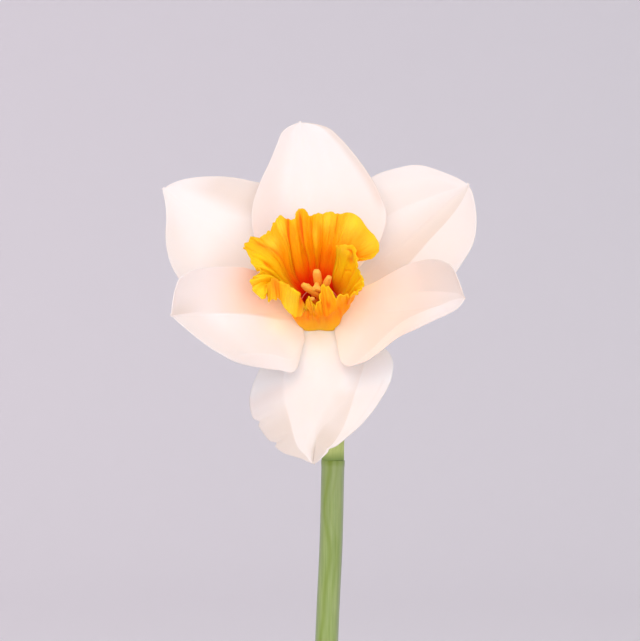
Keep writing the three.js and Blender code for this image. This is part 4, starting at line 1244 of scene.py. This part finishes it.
# %% [markdown]
# ## Leaves
# Five strap leaves rise with the stem and arch outwards. A leaf is a long blade, channelled along its
# middle, with fine parallel veins and a rounded tip. Its spine leans further from upright as it goes,
# and the blade rolls a little to one side.

# %% Leaves
# Facing is the way a leaf arches, in degrees from the right towards the back. Lean is its angle from
# upright at its foot and at its tip.
LEAVES = [
    {"facing": 172, "length": 213, "lean": (6, 66), "width": 16.0, "twist": 38},
    {"facing": 244, "length": 216, "lean": (6, 74), "width": 15.0, "twist": -34},
    {"facing": 312, "length": 222, "lean": (8, 84), "width": 15.5, "twist": 30},
    {"facing": 20, "length": 215, "lean": (5, 72), "width": 16.0, "twist": -36},
    {"facing": 95, "length": 207, "lean": (5, 68), "width": 15.0, "twist": 32},
]
LEAF_FOOT_RADIUS = 8.0
LEAF_VEINS = 7
VEIN_HEIGHT = 0.05
LEAF_THICK_AT_FOOT = 1.8
LEAF_THICK_AT_TIP = 1.0


def leaf_surface(leaf, s, t):
    """The leaf's middle surface: a leaning spine, a blade square to it, a channel as t squared."""
    facing = math.radians(leaf["facing"])
    outward = np.array([math.cos(facing), math.sin(facing), 0.0])
    sideways = np.array([-outward[1], outward[0], 0.0])

    def lean(at):
        """The angle from upright, which goes from foot to tip as the share to the power of 1.7."""
        return np.radians(between(*leaf["lean"], at ** 1.7))[:, None]

    spine = walked(lambda at: outward * np.sin(lean(at)) + UPRIGHT * np.cos(lean(at)), leaf["length"], s)
    spine = spine + STEM_FOOT + outward * LEAF_FOOT_RADIUS
    face = UPRIGHT * np.sin(lean(s)) - outward * np.cos(lean(s))
    rolled = np.radians(leaf["twist"]) * s[:, None]
    side = sideways * np.cos(rolled) + face * np.sin(rolled)
    up = face * np.cos(rolled) - sideways * np.sin(rolled)
    rows, columns = s[:, None], t[None, :]
    tip = np.sqrt(np.maximum(1 - np.clip((rows - 0.86) / 0.145, 0, 1) ** 2, 0))
    width = leaf["width"] / 2 * between(0.5, 1.0, smooth(rows, 0.02, 0.36)) * np.maximum(tip, 0.05)
    channel = between(0.34, 0.12, rows) * width * columns ** 2
    veins = VEIN_HEIGHT * np.cos(2 * np.pi * LEAF_VEINS * columns) * tip * smooth(rows, 0.0, 0.2)
    across = side[:, None] * (width * columns)[..., None]
    return (spine[:, None] + across + up[:, None] * (channel + veins)[..., None]) * MM


# %% Leaf finish
def leaf_finish():
    """Blue green blade with parallel veins, a paler foot, a yellower tip and a waxy bloom."""
    blade = Finish("leaf_blade", 0.42, 0.4, (0.12, 0.0012, (0.4, 1.0, 0.2)))
    veins = blade.noise(blade.flat_place(2.6, 0.02), 1.0, 3.0, 0.6)
    wax = blade.noise(blade.placed(), 55.0, 3.0)
    green = blade.ramp(veins, (0.3, 72, 108, 66), (0.7, 104, 138, 88))
    waxy = blade.mix(blade.mask(wax, (0.4, 0.0), (0.8, 0.4)), green, (120, 148, 112))
    tone = blade.ramp(
        blade.value("way"), (0.0, 236, 240, 176), (0.12, 255, 255, 255), (0.9, 255, 255, 255),
        (1.0, 255, 236, 150))
    blade.paint(blade.mix(1.0, waxy, tone, "MULTIPLY"))
    blade.bump(veins, 0.15 * MM, 0.6)
    return blade


leaf_blade = leaf_finish()

# %% Make the leaves
leaf_s = 1 - (1 - np.linspace(0, 1, 150)) ** 1.25
leaf_t = np.linspace(-1, 1, 43)
for number, leaf in enumerate(LEAVES, start=1):
    rows, columns = leaf_s[:, None], leaf_t[None, :]
    thickness = between(LEAF_THICK_AT_FOOT, LEAF_THICK_AT_TIP, rows) * (1 - 0.7 * columns ** 2) * MM
    values = {"along": rows * leaf["length"], "across": columns * leaf["width"] / 2, "way": rows}
    blade = sheet(f"strap_leaf_{number}", leaf_surface(leaf, leaf_s, leaf_t), thickness, values)
    dress(blade, leaf_blade, "leaf_green", f"leaf_{number}")

# %% [markdown]
# ## Bulb
# Only the bulb's neck shows above the soil: brown papery skins, split and standing a little apart,
# round the foot of the leaves. The bulb is turned from its outline and given folds and flakes.

# %% Bulb
SOIL_LEVEL = 103.0
BULB_HEIGHT = 62.0
BULB_RADIUS = 25.0
NECK_RADIUS = 13.5
NECK_DEPTH = 12.0
BULB_FOOT = SOIL_LEVEL + 8.0 - BULB_HEIGHT


def bulb_radius(height):
    """A sine belly that blends into the neck's radius over its upper part."""
    belly = np.sin(np.pi * np.clip(height / (BULB_HEIGHT * 0.86), 0, 1)) ** 0.62
    neck = smooth(height, BULB_HEIGHT * 0.42, BULB_HEIGHT * 0.82)
    return between(between(9.0, BULB_RADIUS, belly), NECK_RADIUS, neck)


def turned(radius, height, degrees):
    """An outline turned round the pot's middle: radius times sine and cosine of the angle, and height."""
    angle = np.radians(degrees)
    return np.stack([radius * np.sin(angle), radius * np.cos(angle), height + 0 * angle], axis=-1)


# %% Bulb finish
def bulb_finish():
    """Brown papery skin: long fibres between two browns, with pale worn places."""
    paper = Finish("bulb_paper", 0.62, 0.3)
    fibres = paper.noise(paper.placed((1.0, 1.0, 0.12)), 900.0, 5.0, 0.65)
    wear = paper.noise(paper.placed(), 160.0, 3.0)
    base = paper.ramp(fibres, (0.28, 92, 56, 28), (0.52, 154, 104, 58), (0.78, 206, 168, 118))
    paper.paint(paper.mix(paper.mask(wear, (0.45, 0.0), (0.75, 0.5)), base, (214, 188, 146)))
    paper.bump(fibres, 0.3 * MM, 0.8)
    return paper


# %% Make the bulb
def make_bulb():
    """The outline up the outside, over a ragged lip and down into the neck, turned once round."""
    up_side = np.linspace(0, BULB_HEIGHT - 1, 90)
    outside = np.stack([bulb_radius(up_side), BULB_FOOT + up_side], axis=1)
    lip = BULB_FOOT + BULB_HEIGHT
    foot = [(LEAST_RADIUS, BULB_FOOT - 2), (5.0, BULB_FOOT - 1.9), (7.0, BULB_FOOT - 1.4)]
    mouth = [
        (13.2, lip - 0.4), (12.7, lip), (11.9, lip), (11.45, lip - 0.5), (11.4, lip - 3), (11.4, lip - 7),
        (11.4, lip - NECK_DEPTH + 0.4), (11.0, lip - NECK_DEPTH), (6.0, lip - NECK_DEPTH),
        (LEAST_RADIUS, lip - NECK_DEPTH),
    ]
    profile = np.concatenate([foot, outside, mouth])
    degrees = ring_degrees(144)
    radius, height = profile[:, :1], profile[:, 1:2]
    near_lip = smooth(height, lip - 9, lip)
    folds = 0.35 * np.sin(np.radians(11 * degrees) + 0.35 * height)
    folds = folds + 0.22 * np.sin(np.radians(23 * degrees) + 1)
    ragged = 1.3 * np.sin(np.radians(7 * degrees) + 1) + 0.9 * np.sin(np.radians(17 * degrees))
    radius = radius + folds * 0.5 * smooth(radius, 11.0, 12.5)
    height = height + np.minimum(ragged, 0.6) * near_lip * 0.7 - 0.9 * near_lip
    rings = turned(radius, height, degrees) * MM
    return dress(round_solid("brown_bulb", rings, {}), bulb_finish(), "bulb_skin", "bulb")


make_bulb()

# %% [markdown]
# ## Soil
# Potting mix is dark, fibrous and crumbly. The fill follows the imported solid, with waves of several
# sizes on its top. Over a thousand small lumps lie on it, each a rough ball of few faces, all made at
# once as one array and sunk a little into the surface.

# %% Soil surface
POT_HEIGHT = 115.0
POT_TOP_RADIUS = 70.0
POT_FOOT_RADIUS = 46.0
POT_WALL = 5.0
POT_FLOOR = 7.0
RIM_PROUD = 4.0
POT_COLUMNS = 200
SOIL_RELIEF = 1.6
BULB_CLEAR = 0.9
POT_CLEAR = 0.6
SOIL_INNER = NECK_RADIUS + BULB_CLEAR


def body_radius(height):
    """The pot's side: a straight taper from its foot to its rim."""
    return between(POT_FOOT_RADIUS, POT_TOP_RADIUS - RIM_PROUD, height / POT_HEIGHT)


def inside_radius(height):
    """The inner side of the pot's wall."""
    return body_radius(height) - POT_WALL


SOIL_OUTER = inside_radius(SOIL_LEVEL) - POT_CLEAR


def soil_height(x, y):
    """The soil's top: long and short waves added up, fading to level at the neck and at the pot."""
    coarse = np.sin(0.31 * x + 1.3) * np.cos(0.27 * y - 0.4)
    fine = np.sin(0.83 * x - 0.6 * y) + np.sin(0.71 * y + 0.5 * x + 2)
    short = np.sin(1.9 * x + 1.1 * y) * np.sin(2.3 * y - 0.7 * x + 1)
    short = short + 0.6 * np.sin(3.7 * x) * np.sin(4.1 * y + 2)
    radius = np.hypot(x, y)
    level = smooth(radius, SOIL_INNER, SOIL_INNER + 8) * smooth(SOIL_OUTER - radius, 0, 8)
    return SOIL_LEVEL + SOIL_RELIEF * (0.45 * coarse + 0.3 * fine + 0.22 * short) * level


# %% Soil finish
def soil_finish():
    """Dark peat with brown fibres and dry pale specks."""
    peat = Finish("potting_mix", 0.95, 0.15)
    coarse = peat.noise(peat.placed(), 420.0, 6.0, 0.7)
    fine = peat.noise(peat.placed(), 2600.0, 4.0, 0.7)
    base = peat.ramp(coarse, (0.3, 34, 24, 18), (0.55, 62, 45, 32), (0.75, 104, 78, 54))
    peat.paint(peat.mix(peat.mask(fine, (0.62, 0.0), (0.74, 0.6)), base, (142, 116, 86)))
    peat.bump(fine, 0.6 * MM, 0.8)
    return peat


potting_mix = soil_finish()

# %% Make the soil
def make_soil():
    """The fill as one turned solid: under the bulb, up round it, over the top, down the pot's side."""
    up_hole = np.linspace(0, BULB_HEIGHT - 11, 30)
    hole = np.stack([bulb_radius(up_hole) + BULB_CLEAR, BULB_FOOT + up_hole], axis=1)
    over_top = np.linspace(SOIL_INNER, SOIL_OUTER, 110)
    top = np.stack([over_top, np.full_like(over_top, SOIL_LEVEL)], axis=1)
    under = BULB_FOOT - 2.6
    bottom, low = POT_FLOOR + 0.3, POT_FLOOR + 6.0
    side = [(inside_radius(low) - POT_CLEAR, low + 0.3), (inside_radius(POT_FLOOR) - 6, bottom),
            (LEAST_RADIUS, bottom)]
    profile = np.concatenate([[(LEAST_RADIUS, under), (7.0, under)], hole, top, side])
    radius, height = profile[:, :1], profile[:, 1:2]
    rings = turned(radius, height, ring_degrees(POT_COLUMNS))
    on_top = np.abs(height - SOIL_LEVEL) < 1e-6
    rings[..., 2] = np.where(on_top, soil_height(rings[..., 0], rings[..., 1]), height)
    return dress(round_solid("potting_soil", rings * MM, {}), potting_mix, "soil", "soil")


make_soil()

# %% Crumbs
CRUMB_COUNT = 1100
CRUMB_ROWS = 5
CRUMB_COLUMNS = 8


def make_crumbs():
    """Rough balls: a sphere of a few points, each moved in or out by chance, then squashed."""
    chance = np.random.default_rng(7)
    polar = np.linspace(0, np.pi, CRUMB_ROWS)[:, None]
    around = np.linspace(0, 2 * np.pi, CRUMB_COLUMNS, endpoint=False)[None, :]
    ball = np.stack([np.sin(polar) * np.cos(around), np.sin(polar) * np.sin(around),
                     np.cos(polar) + 0 * around], axis=-1)
    dents = 1 + 0.3 * chance.standard_normal((CRUMB_COUNT, CRUMB_ROWS, CRUMB_COLUMNS, 1)).clip(-1.2, 1.2)
    dents[:, 0] = dents[:, 0, :1]
    dents[:, -1] = dents[:, -1, :1]
    size = 0.45 + 1.35 * chance.random((CRUMB_COUNT, 1, 1, 1)) ** 2.2
    squash = 0.65 + 0.6 * chance.random((CRUMB_COUNT, 1, 1, 3))
    radius = np.sqrt(chance.uniform((SOIL_INNER + 1.5) ** 2, (SOIL_OUTER - 1.6) ** 2, CRUMB_COUNT))
    angle = chance.uniform(0, 2 * np.pi, CRUMB_COUNT)
    x, y = radius * np.cos(angle), radius * np.sin(angle)
    middle = np.stack([x, y, soil_height(x, y) + 0.15 * size[:, 0, 0, 0]], axis=-1)
    points = middle[:, None, None] + ball * dents * size * squash
    quads = grid_quads(CRUMB_ROWS, CRUMB_COLUMNS, wrap=True)
    first_points = CRUMB_ROWS * CRUMB_COLUMNS * np.arange(CRUMB_COUNT)
    faces = (quads[None] + first_points[:, None, None]).reshape(-1, 4)
    piece = make_mesh("soil_crumbs", points * MM, faces, {}, merge_ends=True)
    return dress(piece, potting_mix, "soil")


make_crumbs()

# %% [markdown]
# ## Pot
# A plain fired clay pot with a rim band. A lathe makes it: the outline goes up the outside, over the
# rim and down the inside, and its corners are rounded by cutting each one off twice. Faint turning
# lines stay in the clay, and lime from the water leaves a pale bloom on it.

# %% Pot finish
def rounded(outline, times):
    """Cuts each corner off at a quarter of both its sides, and again, with the two ends kept."""
    for _ in range(times):
        near = outline[:-1] * 0.75 + outline[1:] * 0.25
        far = outline[:-1] * 0.25 + outline[1:] * 0.75
        cut = np.stack([near, far], axis=1).reshape(-1, 2)
        outline = np.concatenate([outline[:1], cut, outline[-1:]])
    return outline


def clay_finish():
    """Fired clay: warm orange brown in soft clouds, fine grit, and a pale lime bloom in patches."""
    clay = Finish("fired_clay", 0.86, 0.25)
    clouds = clay.noise(clay.placed((1.0, 1.0, 1.6)), 26.0, 5.0, 0.6)
    grit = clay.noise(clay.placed(), 1500.0, 5.0, 0.7)
    lines = clay.noise(clay.placed((0.02, 0.02, 1.0)), 700.0, 3.0)
    lime = clay.noise(clay.placed((1.0, 1.0, 0.7)), 60.0, 6.0, 0.65)
    base = clay.ramp(clouds, (0.3, 166, 88, 52), (0.55, 190, 108, 68), (0.75, 206, 128, 86))
    limed = clay.mix(clay.mask(lime, (0.52, 0.0), (0.78, 0.42)), base, (226, 196, 170))
    clay.paint(clay.mix(clay.mask(grit, (0.3, 0.3), (0.5, 0.0)), limed, (128, 66, 40)))
    clay.bump(clay.maths("ADD", grit, clay.maths("MULTIPLY", lines, 0.8)), 0.22 * MM, 0.8)
    return clay


# %% Make the pot
BAND_HEIGHT = 26.0
DRAIN_RADIUS = 7.0
DRAIN_EDGE = 8.0


def make_pot():
    """The pot's outline with rounded corners, turned once round and closed on itself."""
    band_foot = POT_HEIGHT - BAND_HEIGHT
    inner_rim = inside_radius(POT_HEIGHT)
    outline = np.array([
        (DRAIN_EDGE, 0.0), (POT_FOOT_RADIUS - 1.5, 0.0), (POT_FOOT_RADIUS - 0.4, 0.5),
        (body_radius(2), 2.0), (body_radius(30), 30.0), (body_radius(60), 60.0),
        (body_radius(band_foot - 2), band_foot - 2), (body_radius(band_foot) + 1.2, band_foot),
        (POT_TOP_RADIUS - 2.2, band_foot + 0.6), (POT_TOP_RADIUS - 1.2, band_foot + 2.4),
        (POT_TOP_RADIUS, POT_HEIGHT - 3), (POT_TOP_RADIUS - 1, POT_HEIGHT - 0.8),
        (POT_TOP_RADIUS - 3, POT_HEIGHT), (inner_rim + 2, POT_HEIGHT), (inner_rim + 0.4, POT_HEIGHT - 1.2),
        (inside_radius(POT_HEIGHT - 5), POT_HEIGHT - 5), (inside_radius(60), 60.0),
        (inside_radius(13), 13.0), (inside_radius(POT_FLOOR) - 5, POT_FLOOR), (DRAIN_EDGE, POT_FLOOR),
        (DRAIN_RADIUS, POT_FLOOR - 1), (DRAIN_RADIUS, 1.0), (DRAIN_EDGE, 0.0),
    ])
    profile = rounded(outline, 2)
    degrees = ring_degrees(POT_COLUMNS)
    radius, height = profile[:, :1], profile[:, 1:2]
    turning = 0.05 * np.sin(1.9 * height) + 0.04 * np.sin(0.73 * height + 2 * np.radians(degrees))
    points = turned(radius + turning * smooth(height, 1.0, 6.0), height, degrees) * MM
    quads = grid_quads(*points.shape[:2], wrap=True)
    return dress(make_mesh("clay_pot", points, quads, {}, merge_ends=True), clay_finish(), "clay", "pot")


make_pot()

# %% [markdown]
# ## The studio
# The picture has a plain pale grey ground with a trace of violet, and very soft light. A floor that curves
# up into a round wall gives that ground from every side, with painted light that leaves it lighter towards
# the left and lower down. It stands well outside the cameras.
# A large light above and in front models the petals, a second one fills from the side, and the
# world's even light does the rest. Three tiny warm lamps behind the cup's wall stand for the light
# that the orange tissue passes on to the petals beside it.

# %% Floor and wall
STUDIO_RADIUS = 4.2
STUDIO_CURVE = 1.4
STUDIO_WALL = 3.2


def make_studio():
    """A flat floor, a quarter circle and an upright wall, turned once round."""
    flat = np.linspace(0.0, STUDIO_RADIUS - STUDIO_CURVE, 12)
    turn = np.linspace(0, np.pi / 2, 24)[1:]
    wall = np.linspace(STUDIO_CURVE, STUDIO_WALL, 8)[1:]
    curve = flat[-1] + STUDIO_CURVE * np.sin(turn)
    radius = np.concatenate([flat, curve, np.full(len(wall), STUDIO_RADIUS)])
    height = np.concatenate([np.zeros(len(flat)), STUDIO_CURVE * (1 - np.cos(turn)), wall])
    points = turned(radius[:, None], height[:, None], ring_degrees(96))
    quads = grid_quads(*points.shape[:2], wrap=True)
    floor = make_mesh("studio_floor", points, quads, {}, merge_ends=True)
    paper = Finish("studio_paper", 0.9, 0.1)
    place = paper.node("SeparateXYZ", {"Vector": paper.placed()}).outputs
    # Painted light: the paper is lighter towards the left and lower down.
    painted_light_slope = paper.maths("ADD", place["X"], paper.maths("MULTIPLY", place["Z"], 0.45))
    share = paper.maths("MULTIPLY_ADD", painted_light_slope, 0.6, 0.4)
    tone = paper.ramp(share, (0.0, 235, 229, 236), (1.0, 226, 223, 229))
    grain = paper.noise(paper.placed(), 3.0, 2.0)
    paper.paint(paper.mix(paper.maths("MULTIPLY", grain, 0.3), tone, (231, 227, 233)))
    floor.data.materials.append(paper.material)
    print(floor.name, "faces:", len(floor.data.polygons))


make_studio()

# %% Lights
AIM = np.array([0.0, 0.0, 0.4])
ORANGE_LIGHT = (1.0, 0.5, 0.06)
GLOW_SIZE = 2.0


def hang_lamp(name, kind, place, power, tint):
    """A lamp at its place, which the camera doesn't see."""
    data = bpy.data.lights.new(name, kind)
    data.energy = power
    data.color = tint
    lamp = bpy.data.objects.new(name, data)
    lamp.location = place
    lamp.visible_camera = False
    bpy.context.scene.collection.objects.link(lamp)
    return lamp


def add_light(name, place, size, power, tint):
    """A square lamp turned towards the plant."""
    lamp = hang_lamp(name, "AREA", place, power, tint)
    lamp.data.shape = "SQUARE"
    lamp.data.size = size
    x, y, z = AIM - np.array(place)
    lamp.rotation_euler = (math.atan2(math.hypot(x, y), -z), 0.0, math.atan2(y, x) - math.pi / 2)


def add_glow(name, degrees, radius, height, power):
    """A tiny warm lamp behind the cup's wall, at a place in the bloom."""
    place = in_bloom(bloom_direction(degrees), radius, height)
    lamp = hang_lamp(name, "POINT", place, power, ORANGE_LIGHT)
    lamp.data.shadow_soft_size = GLOW_SIZE * MM


add_light("key", (-0.7, -2.2, 1.9), 2.2, 28.0, (1.0, 0.985, 0.97))
add_light("fill", (0.5, -2.6, 0.4), 2.0, 27.0, (1.0, 0.99, 0.985))
add_glow("glow_left", 235.0, 13.0, 9.0, 0.00038)
add_glow("glow_right", 64.0, 15.0, 9.0, 0.0005)
add_glow("glow_low", 110.0, 12.5, 8.0, 0.00012)
world = bpy.data.worlds.new("soft_light")
world.use_nodes = True
background = world.node_tree.nodes["Background"]
background.inputs["Color"].default_value = (1.0, 0.995, 0.985, 1.0)
background.inputs["Strength"].default_value = 0.86
bpy.context.scene.world = world
bpy.context.scene.view_settings.view_transform = "Standard"
print("lamps:", [lamp.name for lamp in bpy.data.lights])
